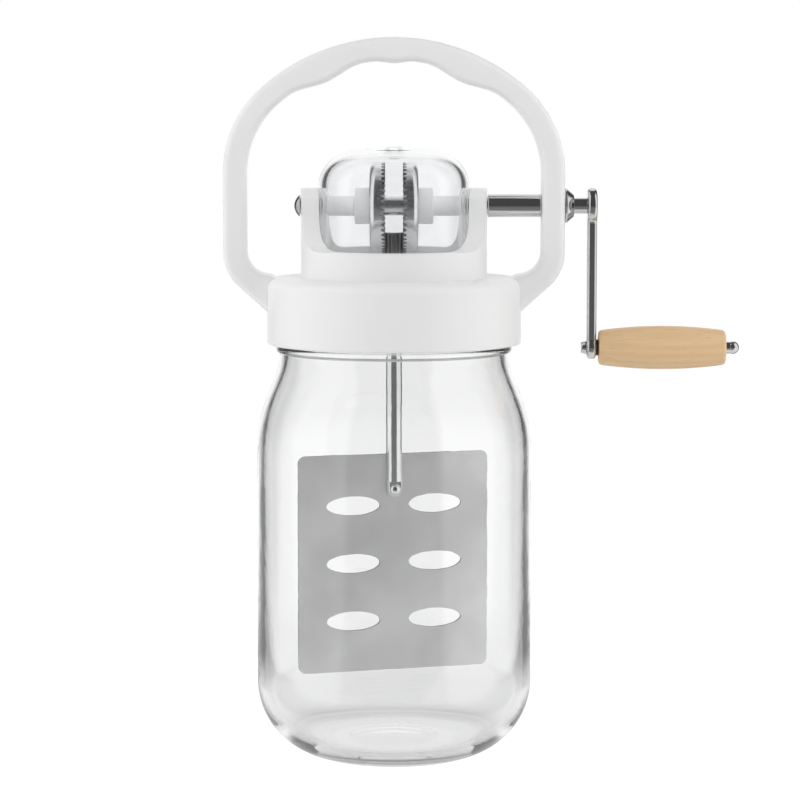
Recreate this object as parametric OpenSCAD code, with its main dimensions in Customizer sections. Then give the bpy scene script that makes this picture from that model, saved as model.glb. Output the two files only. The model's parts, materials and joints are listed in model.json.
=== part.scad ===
// Glass jar butter churn: a screw lid carries a hand crank, a crown gear train and a paddle.
// +Z is up, +X points to the crank, and the origin is the middle of the foot of the jar.

/* [Jar] */
// Height of the jar from its foot to its rim
jar_h = 186; // [176:1:215]
// Outside diameter of the jar body
jar_d = 110; // [104:1:122]
// Outside diameter of the neck
neck_d = 91; // [86:1:96]
// Thickness of the glass wall
glass_t = 3; // [2.4:0.1:3.8]
// Thickness of the glass floor
floor_t = 5; // [4:0.2:7]
// Radius of the rounded heel
heel_r = 30; // [24:1:34]
// Radius of the convex part of the shoulder
shoulder_r = 62; // [48:1:72]
// Radius of the hollow that leads into the neck
hollow_r = 22; // [16:1:28]
// Length of the straight slope between those two
slope_l = 9.5; // [6:0.5:13]
// Height of the neck from the end of the shoulder to the rim
neck_h = 23.4; // [22.6:0.1:28]
// Distance from the rim down to the middle of the bead below the lid
bead_down = 22.2; // [21:0.1:24]
// How far that bead stands out of the neck
bead_out = 1.5; // [1:0.1:2]
// Height of that bead
bead_h = 3; // [2:0.1:3.4]
// Width of the flat ring that the jar stands on
foot_w = 6; // [4:0.5:9]
// Depth of the hollow under the jar
punt_h = 1.5; // [0.8:0.1:2.5]

/* [Lid] */
// Gap between the lower edge of the lid and the bead
skirt_gap = 0.6; // [0.3:0.1:2]
// Thickness of the skirt of the lid
lid_wall = 2.6; // [2:0.1:3.6]
// Thickness of the top of the lid
lid_top_t = 4.2; // [3.6:0.1:6]
// Rounding of the top edge of the lid
lid_edge_r = 4; // [2:0.2:6]
// Room for the thread between the neck and the skirt
thread_room = 2.55; // [2.2:0.05:3.2]
// Thickness of the sealing ring under the lid
gasket_t = 2; // [1.4:0.1:3]

/* [Gear housing] */
// Outside diameter of the housing
house_d = 74; // [70:1:80]
// Height of the housing wall at the front and back
house_h = 11; // [9:0.5:14]
// Thickness of the housing floor
house_floor_t = 6.2; // [5.5:0.1:7]
// Width of an ear from front to back
ear_w = 17; // [14:0.5:22]
// Height of an ear above the crank shaft
ear_h = 7; // [6:0.1:10]
// Rounding of the top corners of an ear
ear_corner_r = 5; // [2:0.5:6]
// Radius of the sweep from an ear down to the wall
ear_sweep_r = 14; // [10:0.5:16]
// Diameter of the circle that the housing screws lie on
screw_circle_d = 44; // [36:1:50]
// Number of housing screws
screw_count = 4; // [3:1:6]
// Diameter of a screw shank
screw_d = 3.4; // [3:0.1:4]
// Diameter of a screw head
screw_head_d = 6.8; // [6:0.1:8]
// Height of a screw head
screw_head_h = 2; // [1.6:0.1:2.4]
// How far a screw bites into the housing floor
screw_bite = 4.7; // [3.5:0.1:5]

/* [Clear cover] */
// Outside diameter of the cover
cover_d = 60; // [56:0.5:62]
// Wall thickness of the cover
cover_t = 2.8; // [2:0.1:3.2]
// Rounding of the top edge of the cover
cover_edge_r = 15; // [10:0.5:18]
// Height of the top of the cover above the lid
cover_h = 51.4; // [50:0.2:56]
// Gap between the cover and the housing wall
cover_gap = 0.8; // [0.4:0.1:1.5]
// Diameter of the small boss under the top of the cover
cover_boss_d = 6.4; // [4:0.2:8]
// Depth of that boss
cover_boss_h = 1.2; // [0.6:0.1:1.4]

/* [Carrying handle] */
// Overall width of the handle
handle_w = 135.2; // [130:0.2:142]
// Height of the handle above the lid
handle_h = 94.8; // [92:0.2:104]
// Thickness of the handle bar
handle_t = 9; // [7:0.2:10]
// Depth of the handle from front to back
handle_depth = 18; // [14:0.5:24]
// Height of the straight legs above the lid
leg_h = 41.2; // [38:0.2:45]
// Radius of the bend from a leg into the top
bend_r = 45; // [40:0.5:47]
// Least rise of the top of the arch above its two bends
arch_rise = 4; // [2:0.5:7]
// Inner radius of the bend into a foot
foot_r = 9; // [6:0.5:11]
// Thickness of a foot on top of the lid
sole_t = 1.2; // [0.8:0.1:2]
// Angle that a foot turns through before it runs straight to the lid
foot_turn = 48; // [42:1:54]
// How far the toe of a foot reaches in from the edge of the lid
toe_l = 6.6; // [5:0.2:9]
// How far the two finger swells stand into the hand gap
swell_h = 3; // [1:0.1:4]
// Angle of a finger swell from the middle of the handle
swell_turn = 23.5; // [20:0.5:26]
// Angle over which a finger swell rises
swell_spread = 14; // [10:0.5:16]
// How far the middle ridge stands into the hand gap
ridge_h = 1.1; // [0.5:0.1:1.6]
// Angle over which the middle ridge rises
ridge_spread = 7; // [5:0.5:9]
// Chamfer along the edges of the handle
handle_chamfer = 1.2; // [0.6:0.1:2]

/* [Gear train] */
// Module of the teeth
tooth_m = 0.7; // [0.66:0.01:0.74]
// Teeth on each crown gear
crown_teeth = 48; // [44:1:50]
// Teeth on the pinion
pinion_teeth = 12; // [11:1:14]
// Height of a tooth outside the pitch line
tooth_out = 0.6; // [0.5:0.02:0.66]
// Depth of a tooth gap inside the pitch line
tooth_in = 0.74; // [0.7:0.02:0.84]
// Play between meshing teeth at the pitch line
tooth_play = 0.34; // [0.3:0.02:0.44]
// Width of the toothed ring of a crown gear
crown_face = 2.2; // [1.8:0.1:2.6]
// How far that ring reaches outside the pitch circle
crown_out = 1.2; // [0.9:0.1:1.4]
// Thickness of a crown gear along the shaft
crown_t = 5.9; // [5.2:0.1:6.6]
// Thickness of the web of a crown gear
crown_web_t = 3; // [2.4:0.1:3.2]
// Rounding of the back edge of a crown gear
crown_edge_r = 2.5; // [1:0.1:2.8]
// Diameter of a gear hub
hub_d = 14.4; // [12:0.2:16]
// Length of a gear hub
hub_l = 6; // [5:0.2:7]
// Diameter of the sleeves between the hubs and the cover
sleeve_d = 8; // [7.4:0.1:9]
// Diameter of the spacer between the crown gears
spacer_d = 7.6; // [7.2:0.1:9]
// Height of the pinion
pinion_h = 9.6; // [7:0.2:11]
// How far the pinion reaches below the crown gears
pinion_under = 2.2; // [1.4:0.1:2.4]

/* [Crank] */
// Diameter of the crank shaft
shaft_d = 6.4; // [6:0.1:6.8]
// Height of the crank shaft above the lid
shaft_up = 28.4; // [27:0.1:29]
// Diameter of the spacer tube outside the housing
tube_d = 9.2; // [8:0.1:10]
// Large diameter of the cone washer
cone_d = 13.8; // [11:0.2:15]
// Small diameter of the cone washer
cone_end_d = 8.8; // [8:0.2:10]
// Length of the cone washer
cone_l = 3.6; // [3:0.1:4.4]
// Diameter of the cap on the free end of the shaft
cap_d = 9.2; // [8:0.1:10]
// Height of that cap
cap_h = 2.4; // [2.2:0.1:3.2]
// Thickness of the cap over the stub that holds it
cap_roof = 1; // [0.8:0.1:1.4]
// Diameter of that stub
cap_stub_d = 4; // [3:0.1:4.6]
// Distance from the handle to the crank arm
arm_reach = 9.2; // [7:0.2:11]
// Length of the crank arm between its centres
arm_l = 56.5; // [50:0.5:64]
// Thickness of the crank arm
arm_t = 3.8; // [3:0.1:4.6]
// Diameter of the shaft end of the arm
arm_boss_d = 14.2; // [12:0.2:16]
// Diameter of the grip end of the arm
arm_end_d = 9.2; // [8:0.2:10]
// Width of the bar between those ends
arm_w = 7.4; // [6:0.2:7.8]
// Radius of the hollows where the bar meets its ends
arm_hollow_r = 2; // [1:0.2:3]
// Side of the squared end of the shaft
square_w = 4.2; // [3.6:0.1:4.2]
// Length of the wooden grip
grip_l = 50.5; // [44:0.5:60]
// Diameter of the grip at its middle
grip_d = 17.3; // [15:0.1:20]
// Diameter of the grip at its ends
grip_end_d = 13.7; // [11:0.1:14.6]
// Chamfer at the ends of the grip
grip_edge = 0.8; // [0.4:0.1:1.4]
// Diameter of the pin through the grip
pin_d = 3.6; // [3:0.1:4]
// Diameter of the rivet head of the pin
pin_head_d = 5.6; // [4.4:0.1:6.4]
// Diameter of the flat end of that head
pin_head_end_d = 4.4; // [3:0.1:5]
// Height of that rivet head
pin_head_h = 2.2; // [1:0.1:2.6]
// Diameter of the washer between the arm and the grip
grip_washer_d = 6.4; // [5:0.1:7]
// Thickness of that washer
grip_washer_t = 0.8; // [0.5:0.1:1.4]
// Diameter of the round end of the ball nut on the pin
ball_d = 5.2; // [5:0.1:6.4]
// Diameter of the neck of the ball nut
ball_neck_d = 4.8; // [4.4:0.1:5]
// Length of that neck to the middle of the ball
ball_neck_l = 2.8; // [2.6:0.1:3.6]

/* [Paddle] */
// Diameter of the paddle rod
rod_d = 6.4; // [5.8:0.1:6.8]
// Diameter of the upper end of the rod, in the pinion
rod_neck_d = 4; // [3.4:0.1:4.4]
// Distance from the axis to the flat on that end
rod_flat = 1.5; // [1.2:0.05:1.6]
// Height of the blade
blade_h = 87.5; // [80:0.5:95]
// Thickness of the blade
blade_t = 1; // [0.8:0.1:1.6]
// Gap between the blade and the floor of the jar
blade_up = 29; // [24:0.5:34]
// Gap on each side where the blade passes the neck
blade_room = 3; // [2:0.1:6]
// Rounding of the corners of the blade
blade_corner_r = 3; // [1:0.2:6]
// How far the rod reaches down over the blade
rod_lap = 17.5; // [12:0.5:18]
// Angle that the blade is turned from the front at rest
blade_turn = 16; // [0:1:45]
// Length of a hole in the blade
hole_l = 22; // [16:0.5:24]
// Height of a hole in the blade
hole_h = 7.7; // [5:0.1:9]
// Distance between the two columns of holes
hole_dx = 34; // [30:0.5:38]
// Distance between the rows of holes
hole_dz = 23.3; // [18:0.1:24]
// Rows of holes
hole_rows = 3; // [1:1:3]
// Diameter of the rivet that holds the blade
rivet_d = 2; // [1.6:0.1:2.4]
// Diameter of a head of that rivet
rivet_head_d = 4.4; // [3.6:0.1:4.8]
// Height of the dome of a head
rivet_head_h = 1.5; // [1:0.1:2]
// Depth of the flat on each side of the end of the rod
rivet_seat = 1; // [0.8:0.1:1.4]

/* [Bush and seal] */
// Outside diameter of the rod bush
bush_d = 10; // [9.4:0.1:11]
// Diameter of the flange of the bush
bush_flange_d = 16; // [14:0.2:18]
// Thickness of that flange
bush_flange_t = 1.6; // [1.4:0.1:2.4]
// Depth of the seal in the bush
seal_h = 2; // [1.4:0.1:2.6]
// Outside diameter of the seal
seal_d = 8.6; // [7.8:0.1:8.8]
// Thickness of the clip under the bush
clip_t = 0.8; // [0.6:0.1:1.2]
// Outside diameter of the clip
clip_d = 10.4; // [9:0.1:12]
// Depth of the groove that holds the clip
clip_groove = 0.5; // [0.3:0.05:0.7]
// Thickness of the thrust washer under the pinion
thrust_t = 0.8; // [0.5:0.1:1.2]

/* [Fits] */
// Clearance around a shaft that turns
run = 0.05; // [0.02:0.01:0.08]
// Clearance around a pressed or glued piece
seat = 0.02; // [0.01:0.01:0.05]
// Gap at the end of a piece that turns
end_gap = 0.25; // [0.15:0.05:0.4]

/* [Hidden] */
$fn = 72;

// Overlap of a cut past the face that it opens
cut = 1;

// Jar and lid
jar_r = jar_d / 2;
neck_r = neck_d / 2;
mouth_r = neck_r - glass_t;
shoulder_drop = jar_r - neck_r;
curve_r = shoulder_r + hollow_r;
shoulder_a = acos((curve_r - shoulder_drop) / norm([curve_r, slope_l])) - atan(slope_l / curve_r);
neck_z = jar_h - neck_h;
slope_top_z = neck_z - hollow_r * sin(shoulder_a);
slope_low_z = slope_top_z - slope_l * cos(shoulder_a);
wall_top_z = slope_low_z - shoulder_r * sin(shoulder_a);
lid_in_r = neck_r + thread_room;
lid_r = lid_in_r + lid_wall;
lid_under_z = jar_h + gasket_t;
lid_z = lid_under_z + lid_top_t;
bead_z = jar_h - bead_down;
lid_h = lid_z - bead_z - bead_h / 2 - skirt_gap;

// Housing and cover
house_r = house_d / 2;
house_floor_z = lid_z + house_floor_t;
cover_r = cover_d / 2;
cover_in_r = cover_r - cover_t;
cover_z = lid_z + cover_h;

// Gears, stacked outwards along the shaft from the pinion
shaft_r = shaft_d / 2;
shaft_z = lid_z + shaft_up;
pinion_r = tooth_m * pinion_teeth / 2;
crown_pitch_r = tooth_m * crown_teeth / 2;
crown_r = crown_pitch_r + crown_out;
crown_x = pinion_r - tooth_out;
crown_back_x = crown_x + crown_t;
crown_web_x = crown_back_x - crown_web_t;
hub_end_x = crown_back_x + hub_l;
sleeve_end_x = sqrt(cover_in_r * cover_in_r - sleeve_d * sleeve_d / 4) - end_gap;
tooth_h = tooth_out + tooth_in;
tooth_a = 20;
pinion_base_r = pinion_r * cos(tooth_a);
pinion_z = shaft_z - crown_r - pinion_under;

// Crank
ear_x = house_r + end_gap;
leg_x = handle_w / 2;
leg_in_x = leg_x - handle_t;
cone_x = leg_x + end_gap;
arm_x = leg_x + arm_reach;
arm_out_x = arm_x + arm_t;
grip_x = arm_out_x + grip_washer_t + end_gap;
ball_x = grip_x + grip_l + end_gap;

// Paddle
rod_r = rod_d / 2;
rod_neck_r = rod_neck_d / 2;
blade_w = 2 * (mouth_r - blade_room);
blade_z = floor_t + blade_up;
blade_top_z = blade_z + blade_h;
rod_end_z = blade_top_z - rod_lap;
rivet_z = rod_end_z + rod_d / 2;
rod_step_z = pinion_z - thrust_t;
bush_top_z = rod_step_z - end_gap;
bush_low_z = lid_under_z - bush_flange_t;
clip_z = bush_low_z - end_gap - clip_t;

// Points on a round stretch of an outline, from angle a0 to angle a1
function arc(x, y, r, a0, a1, steps = 12) =
    [for (i = [0 : steps]) let (a = a0 + (a1 - a0) * i / steps) [x + r * cos(a), y + r * sin(a)]];

// Turns a shape that stands on +Z so that it points along +X at the height of the crank shaft
module on_shaft(x = 0) {
    translate([x, 0, shaft_z]) rotate([0, 90, 0]) children();
}

// Extrudes an outline drawn in Y and Z along +X
module along_x(length) {
    rotate([90, 0, 90]) linear_extrude(length) children();
}

module ring(r_in, r_out, h) {
    difference() {
        cylinder(r = r_out, h = h);
        translate([0, 0, -cut]) cylinder(r = r_in, h = h + 2 * cut);
    }
}

// Round bar with one flat, which drives the piece pressed on it
module flatted_bar(r, flat, h) {
    intersection() {
        cylinder(r = r, h = h);
        translate([-2 * r, -2 * r, 0]) cube([2 * r + flat, 4 * r, h]);
    }
}

// Outline of the jar wall, moved inwards by t, from the top of the heel to the end of the shoulder
function jar_side(t) = concat(
    arc(jar_r - shoulder_r, wall_top_z, shoulder_r - t, 0, shoulder_a),
    arc(neck_r + hollow_r, neck_z, hollow_r + t, 180 + shoulder_a, 180));

function reversed(list) = [for (i = [len(list) - 1 : -1 : 0]) list[i]];

module glass_jar() {
    foot_out = jar_r - heel_r;
    foot_in = foot_out - foot_w;
    punt_r = (foot_in * foot_in + punt_h * punt_h) / (2 * punt_h);
    bead_r = (bead_h * bead_h / 4 + bead_out * bead_out) / (2 * bead_out);
    bead_a = asin(bead_h / 2 / bead_r);
    bead_root = neck_r - glass_t / 2;
    rim_r = glass_t / 2;
    in_heel_r = heel_r - floor_t;
    outside = concat(
        arc(0, punt_h - punt_r, punt_r, 90, 90 - asin(foot_in / punt_r), 6),
        arc(foot_out, heel_r, heel_r, -90, 0),
        jar_side(0));
    rim = arc(neck_r - rim_r, jar_h - rim_r, rim_r, 0, 180, 8);
    inside = concat(
        reversed(jar_side(glass_t)),
        arc(jar_r - glass_t - in_heel_r, heel_r, in_heel_r, 0, -90),
        [[0, floor_t]]);
    color("azure", 0.4) union() {
        rotate_extrude() polygon(concat(outside, rim, inside));
        translate([0, 0, bead_z]) rotate_extrude() polygon(concat(
            [[bead_root, -bead_h / 2]],
            arc(neck_r + bead_out - bead_r, 0, bead_r, -bead_a, bead_a, 8),
            [[bead_root, bead_h / 2]]));
    }
}

module lid_gasket() {
    color("whitesmoke") translate([0, 0, jar_h]) ring(mouth_r, lid_in_r - end_gap, gasket_t);
}

// Outside form of the lid, grown all round by a clearance
module lid_form(grow = 0) {
    r = lid_r + grow;
    h = lid_h + grow;
    translate([0, 0, lid_z - lid_h]) rotate_extrude() polygon(concat(
        [[0, 0], [r, 0]],
        arc(r - lid_edge_r, h - lid_edge_r, lid_edge_r, 0, 90),
        [[0, h]]));
}

module screw_places() {
    for (i = [0 : screw_count - 1])
        rotate([0, 0, (i + 0.5) * 360 / screw_count])
            translate([screw_circle_d / 2, 0, lid_under_z]) children();
}

module screw_lid() {
    color("white") difference() {
        lid_form();
        translate([0, 0, lid_z - lid_h - cut]) cylinder(r = lid_in_r, h = lid_h - lid_top_t + cut);
        translate([0, 0, lid_under_z - cut]) cylinder(r = bush_d / 2 + seat, h = lid_top_t + 2 * cut);
        screw_places() {
            translate([0, 0, -cut]) cylinder(r = screw_d / 2 + end_gap, h = lid_top_t + 2 * cut);
            translate([0, 0, -cut]) cylinder(r = screw_head_d / 2 + end_gap, h = screw_head_h + cut);
        }
    }
}

// Side view of the housing: a low wall that sweeps up into an ear
module housing_side() {
    ear_y = ear_w / 2;
    ear_top = shaft_up + ear_h;
    translate([-house_r - cut, 0]) square([2 * (house_r + cut), house_h]);
    translate([-ear_y, 0]) square([ear_w, ear_top - ear_corner_r]);
    translate([-ear_y + ear_corner_r, 0]) square([ear_w - 2 * ear_corner_r, ear_top]);
    for (s = [-1, 1]) {
        translate([s * (ear_y - ear_corner_r), ear_top - ear_corner_r]) circle(ear_corner_r);
        difference() {
            translate([s * (ear_y + ear_sweep_r / 2), house_h + ear_sweep_r / 2])
                square(ear_sweep_r, center = true);
            translate([s * (ear_y + ear_sweep_r), house_h + ear_sweep_r]) circle(ear_sweep_r);
        }
    }
}

module gear_housing() {
    color("white") difference() {
        intersection() {
            translate([0, 0, lid_z]) cylinder(r = house_r, h = shaft_up + ear_h);
            translate([-house_r - cut, 0, lid_z]) along_x(2 * (house_r + cut)) housing_side();
        }
        translate([0, 0, house_floor_z]) cylinder(r = cover_r + cover_gap, h = shaft_up + ear_h);
        translate([0, 0, lid_z - cut]) cylinder(r = bush_d / 2 + seat, h = house_floor_t + 2 * cut);
        on_shaft(-house_r - cut) cylinder(r = shaft_r + run, h = 2 * (house_r + cut));
        screw_places() translate([0, 0, lid_top_t - cut])
            cylinder(r = screw_d / 2 + seat, h = screw_bite + end_gap + cut);
    }
}

module housing_screws() {
    color("silver") screw_places() {
        cylinder(r = screw_head_d / 2, h = screw_head_h);
        cylinder(r = screw_d / 2, h = lid_top_t + screw_bite);
    }
}

// Solid of revolution under the outside of the cover, moved inwards by t
module cover_form(t) {
    edge_r = cover_edge_r - t;
    translate([0, 0, house_floor_z]) rotate_extrude() polygon(concat(
        [[0, 0], [cover_r - t, 0]],
        arc(cover_r - cover_edge_r, cover_z - house_floor_z - cover_edge_r, edge_r, 0, 90),
        [[0, cover_z - house_floor_z - t]]));
}

module clear_cover() {
    color("azure", 0.4) difference() {
        cover_form(0);
        difference() {
            cover_form(cover_t);
            translate([0, 0, cover_z - cover_t - cover_boss_h])
                cylinder(d = cover_boss_d, h = cover_boss_h + cut);
        }
        translate([0, 0, house_floor_z - cut]) cylinder(r = cover_in_r, h = 2 * cut);
        on_shaft(-cover_r - cut) cylinder(r = shaft_r + end_gap, h = 2 * (cover_r + cut));
    }
}

// Point at angle a on a circle
function on_circle(x, z, r, a) = [x + r * cos(a), z + r * sin(a)];

// Smooth rise from 0 at u = -1 to 1 at u = 0 and back
function bump(u) = abs(u) < 1 ? (1 + cos(180 * u)) / 2 : 0;

// How far the grip stands into the hand gap at an angle from the middle of the handle
function grip_wave(a) = swell_h * bump((a - swell_turn) / swell_spread) + ridge_h * bump(a / ridge_spread);

// Right half of the handle as pairs of inner and outer points in X and Z, from the foot to the middle
function handle_half() =
    let (foot_c = [leg_in_x - foot_r, lid_z + sole_t + foot_r],
        turn_r = foot_r + handle_t,
        heel = on_circle(foot_c[0], foot_c[1], turn_r, -foot_turn),
        tip = heel - (heel[0] - lid_in_r) / sin(foot_turn) * [sin(foot_turn), cos(foot_turn)],
        toe = [lid_r - toe_l, lid_z],
        dip = sole_t * [2, 1],
        inner = concat(
            [toe - dip, toe + dip],
            arc(foot_c[0], foot_c[1], foot_r, -90, -foot_turn, 4)),
        rise = handle_h - leg_h,
        bend = min(bend_r, rise - arch_rise),
        bend_x = leg_x - bend,
        bend_z = lid_z + leg_h,
        top_r = (bend_x * bend_x + rise * rise - bend * bend) / (2 * (rise - bend)),
        top_z = lid_z + handle_h - top_r,
        lean = atan2(bend_z - top_z, bend_x))
    concat(
        [for (i = [0 : 5]) [inner[i], tip + (heel - tip) * i / 6]],
        [for (i = [0 : 6]) let (a = -foot_turn * (1 - i / 6))
            [on_circle(foot_c[0], foot_c[1], foot_r, a), on_circle(foot_c[0], foot_c[1], turn_r, a)]],
        [for (i = [0 : 10]) let (a = lean * i / 10)
            [on_circle(bend_x, bend_z, bend - handle_t, a), on_circle(bend_x, bend_z, bend, a)]],
        [for (i = [1 : 20]) let (a = lean + (90 - lean) * i / 20)
            [on_circle(0, top_z, top_r - handle_t - grip_wave(90 - a), a), on_circle(0, top_z, top_r, a)]]);

// Chamfered section of the handle bar between an inner and an outer point
function bar_section(pair) =
    let (y = handle_depth / 2,
        c = handle_chamfer,
        across = (pair[1] - pair[0]) / norm(pair[1] - pair[0]),
        edge = [[pair[0], y - c], [pair[0] + c * across, y], [pair[1] - c * across, y], [pair[1], y - c]])
    [for (e = concat(edge, [for (i = [3 : -1 : 0]) [edge[i][0], -edge[i][1]]])) [e[0][0], e[1], e[0][1]]];

module carry_handle() {
    right = handle_half();
    left = [for (i = [len(right) - 2 : -1 : 0]) [for (p = right[i]) [-p[0], p[1]]]];
    pairs = concat(right, left);
    points = [for (pair = pairs) each bar_section(pair)];
    sides = 8;
    last = (len(pairs) - 1) * sides;
    skin = [for (i = [0 : len(pairs) - 2], k = [0 : sides - 1])
        let (a = i * sides + k, b = i * sides + (k + 1) % sides)
            each [[a, b, b + sides], [a, b + sides, a + sides]]];
    ends = [[for (k = [sides - 1 : -1 : 0]) k], [for (k = [0 : sides - 1]) last + k]];
    color("white") difference() {
        polyhedron(points, concat(skin, ends));
        lid_form(seat);
        on_shaft(leg_in_x - cut) cylinder(r = shaft_r + run, h = handle_t + 2 * cut);
    }
}

module rod_bush() {
    color("gainsboro") difference() {
        union() {
            translate([0, 0, bush_low_z]) cylinder(d = bush_d, h = bush_top_z - bush_low_z);
            translate([0, 0, bush_low_z]) cylinder(d = bush_flange_d, h = bush_flange_t);
        }
        translate([0, 0, bush_low_z - cut]) cylinder(r = rod_r + run, h = bush_top_z - bush_low_z + 2 * cut);
        translate([0, 0, bush_low_z - cut]) cylinder(r = seal_d / 2 + seat, h = seal_h + cut);
    }
}

module rod_seal() {
    color("dimgray") translate([0, 0, bush_low_z]) ring(rod_r + run, seal_d / 2, seal_h - seat);
}

module paddle_rod() {
    color("silver") difference() {
        union() {
            translate([0, 0, rod_end_z + rod_r]) sphere(r = rod_r);
            translate([0, 0, rod_end_z + rod_r]) cylinder(r = rod_r, h = rod_step_z - rod_end_z - rod_r);
            translate([0, 0, clip_z]) flatted_bar(rod_neck_r, rod_flat, pinion_z + pinion_h - clip_z);
        }
        rotate([0, 0, blade_turn]) translate([-rod_d, -blade_t / 2 - seat, rod_end_z - cut])
            cube([2 * rod_d, blade_t + 2 * seat, rod_lap + seat + cut]);
        rotate([0, 0, blade_turn]) translate([0, 0, rivet_z]) rotate([90, 0, 0])
            translate([0, 0, -rod_d]) cylinder(r = rivet_d / 2 + seat, h = 2 * rod_d);
        for (s = [0, 180]) rotate([0, 0, blade_turn + s]) translate([-rod_d, rod_r - rivet_seat, rod_end_z - cut])
            cube([2 * rod_d, rod_d, rod_d + cut]);
        translate([0, 0, clip_z - seat]) ring(rod_r - clip_groove, rod_d, clip_t + 2 * seat);
    }
}

// Rectangle with round corners, standing on the X axis
module rounded_plate(w, h, r) {
    translate([-w / 2, r]) square([w, h - 2 * r]);
    translate([r - w / 2, 0]) square([w - 2 * r, h]);
    for (x = [r - w / 2, w / 2 - r], y = [r, h - r]) translate([x, y]) circle(r);
}

module paddle_blade() {
    color("silver") rotate([0, 0, blade_turn]) translate([0, blade_t / 2, blade_z]) rotate([90, 0, 0])
        linear_extrude(blade_t) difference() {
            rounded_plate(blade_w, blade_h, blade_corner_r);
            for (x = [-hole_dx / 2, hole_dx / 2], i = [0 : hole_rows - 1])
                translate([x, blade_h / 2 + (i - (hole_rows - 1) / 2) * hole_dz])
                    polygon([for (a = [0 : 12 : 348]) [hole_l / 2 * cos(a), hole_h / 2 * sin(a)]]);
            translate([0, rivet_z - blade_z]) circle(rivet_d / 2 + seat);
        }
}

module blade_rivet() {
    grip = rod_r - rivet_seat;
    dome_r = (rivet_head_d * rivet_head_d / 4 + rivet_head_h * rivet_head_h) / (2 * rivet_head_h);
    color("silver") rotate([0, 0, blade_turn]) translate([0, 0, rivet_z]) rotate([90, 0, 0]) {
        translate([0, 0, -grip]) cylinder(d = rivet_d, h = 2 * grip);
        for (s = [0, 1]) mirror([0, 0, s]) translate([0, 0, grip]) rotate_extrude() polygon(concat(
            [[0, 0]], arc(0, rivet_head_h - dome_r, dome_r, 90 - asin(rivet_head_d / 2 / dome_r), 90, 8)));
    }
}

// Angle by which an involute has turned where its pressure angle is a
function involute(a) = tan(a) * 180 / PI - a;

// Half the angle of a pinion tooth at radius r
function flank_a(r) = (90 - tooth_play / 2 / tooth_m * 180 / PI) / pinion_teeth
    + involute(tooth_a) - involute(acos(min(1, pinion_base_r / r)));

module pinion() {
    tip_r = pinion_r + tooth_out;
    steps = 4;
    rise = [pinion_r - tooth_in, for (i = [0 : steps]) pinion_base_r + (tip_r - pinion_base_r) * i / steps];
    tooth = concat(
        [for (r = rise) [r, -flank_a(r)]],
        [for (r = reversed(rise)) [r, flank_a(r)]]);
    color("dimgray") translate([0, 0, pinion_z]) difference() {
        linear_extrude(pinion_h) polygon([for (i = [0 : pinion_teeth - 1], p = tooth)
            on_circle(0, 0, p[0], p[1] + 360 * i / pinion_teeth)]);
        translate([0, 0, -cut]) flatted_bar(rod_neck_r + seat, rod_flat + seat, pinion_h + 2 * cut);
    }
}

module thrust_washer() {
    color("silver") translate([0, 0, rod_step_z]) ring(rod_neck_r + seat, bush_d / 2 - end_gap, thrust_t);
}

module rod_clip() {
    inner_r = rod_r - clip_groove + seat;
    color("silver") translate([0, 0, clip_z]) difference() {
        ring(inner_r, clip_d / 2, clip_t);
        translate([0, -inner_r, -cut]) cube([clip_d, 2 * inner_r, clip_t + 2 * cut]);
    }
}

// Crown gear on the +X side, with a tooth gap at its lowest point when phase is 0
module crown(bore_r, phase) {
    rim_in = crown_r - crown_face;
    gap_w = PI * tooth_m / 2 + tooth_play / 2;
    tip_w = gap_w + 2 * tooth_out * tan(tooth_a);
    root_w = gap_w - 2 * tooth_in * tan(tooth_a);
    on_shaft(crown_x) difference() {
        rotate_extrude() polygon(concat(
            [[bore_r, crown_web_x - crown_x], [rim_in, crown_web_x - crown_x], [rim_in, 0], [crown_r, 0]],
            arc(crown_r - crown_edge_r, crown_t - crown_edge_r, crown_edge_r, 0, 90, 8),
            [[bore_r, crown_t]]));
        for (i = [0 : crown_teeth - 1]) rotate([0, 0, phase + i * 360 / crown_teeth])
            translate([rim_in - cut, 0, 0]) along_x(crown_face + 2 * cut)
                polygon([[-tip_w / 2, 0], [-tip_w / 2, -cut], [tip_w / 2, -cut], [tip_w / 2, 0],
                    [root_w / 2, tooth_h], [-root_w / 2, tooth_h]]);
    }
}

module drive_crown() {
    color("dimgray") crown(shaft_r + seat, 0);
}

module idler_crown() {
    color("dimgray") mirror([1, 0, 0]) crown(shaft_r + run, pinion_teeth % 2 == 0 ? 0 : 180 / crown_teeth);
}

module drive_hub() {
    color("white") on_shaft(crown_back_x) ring(shaft_r + seat, hub_d / 2, hub_l);
}

module idler_hub() {
    color("white") on_shaft(-hub_end_x) ring(shaft_r + run, hub_d / 2, hub_l);
}

module right_sleeve() {
    color("gainsboro") on_shaft(hub_end_x) ring(shaft_r + seat, sleeve_d / 2, sleeve_end_x - hub_end_x);
}

module left_sleeve() {
    color("gainsboro") on_shaft(-sleeve_end_x)
        ring(shaft_r + seat, sleeve_d / 2, sleeve_end_x - hub_end_x - end_gap);
}

module gear_spacer() {
    color("silver") on_shaft(end_gap - crown_web_x)
        ring(shaft_r + seat, spacer_d / 2, 2 * crown_web_x - end_gap);
}

module crank_shaft() {
    stub_l = cap_h - cap_roof;
    color("silver") {
        on_shaft(-ear_x) cylinder(r = shaft_r, h = ear_x + arm_x);
        on_shaft(-ear_x - stub_l) cylinder(d = cap_stub_d, h = stub_l + cut);
        translate([arm_x - cut, 0, shaft_z]) along_x(arm_t + cut) square(square_w, center = true);
    }
}

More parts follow.
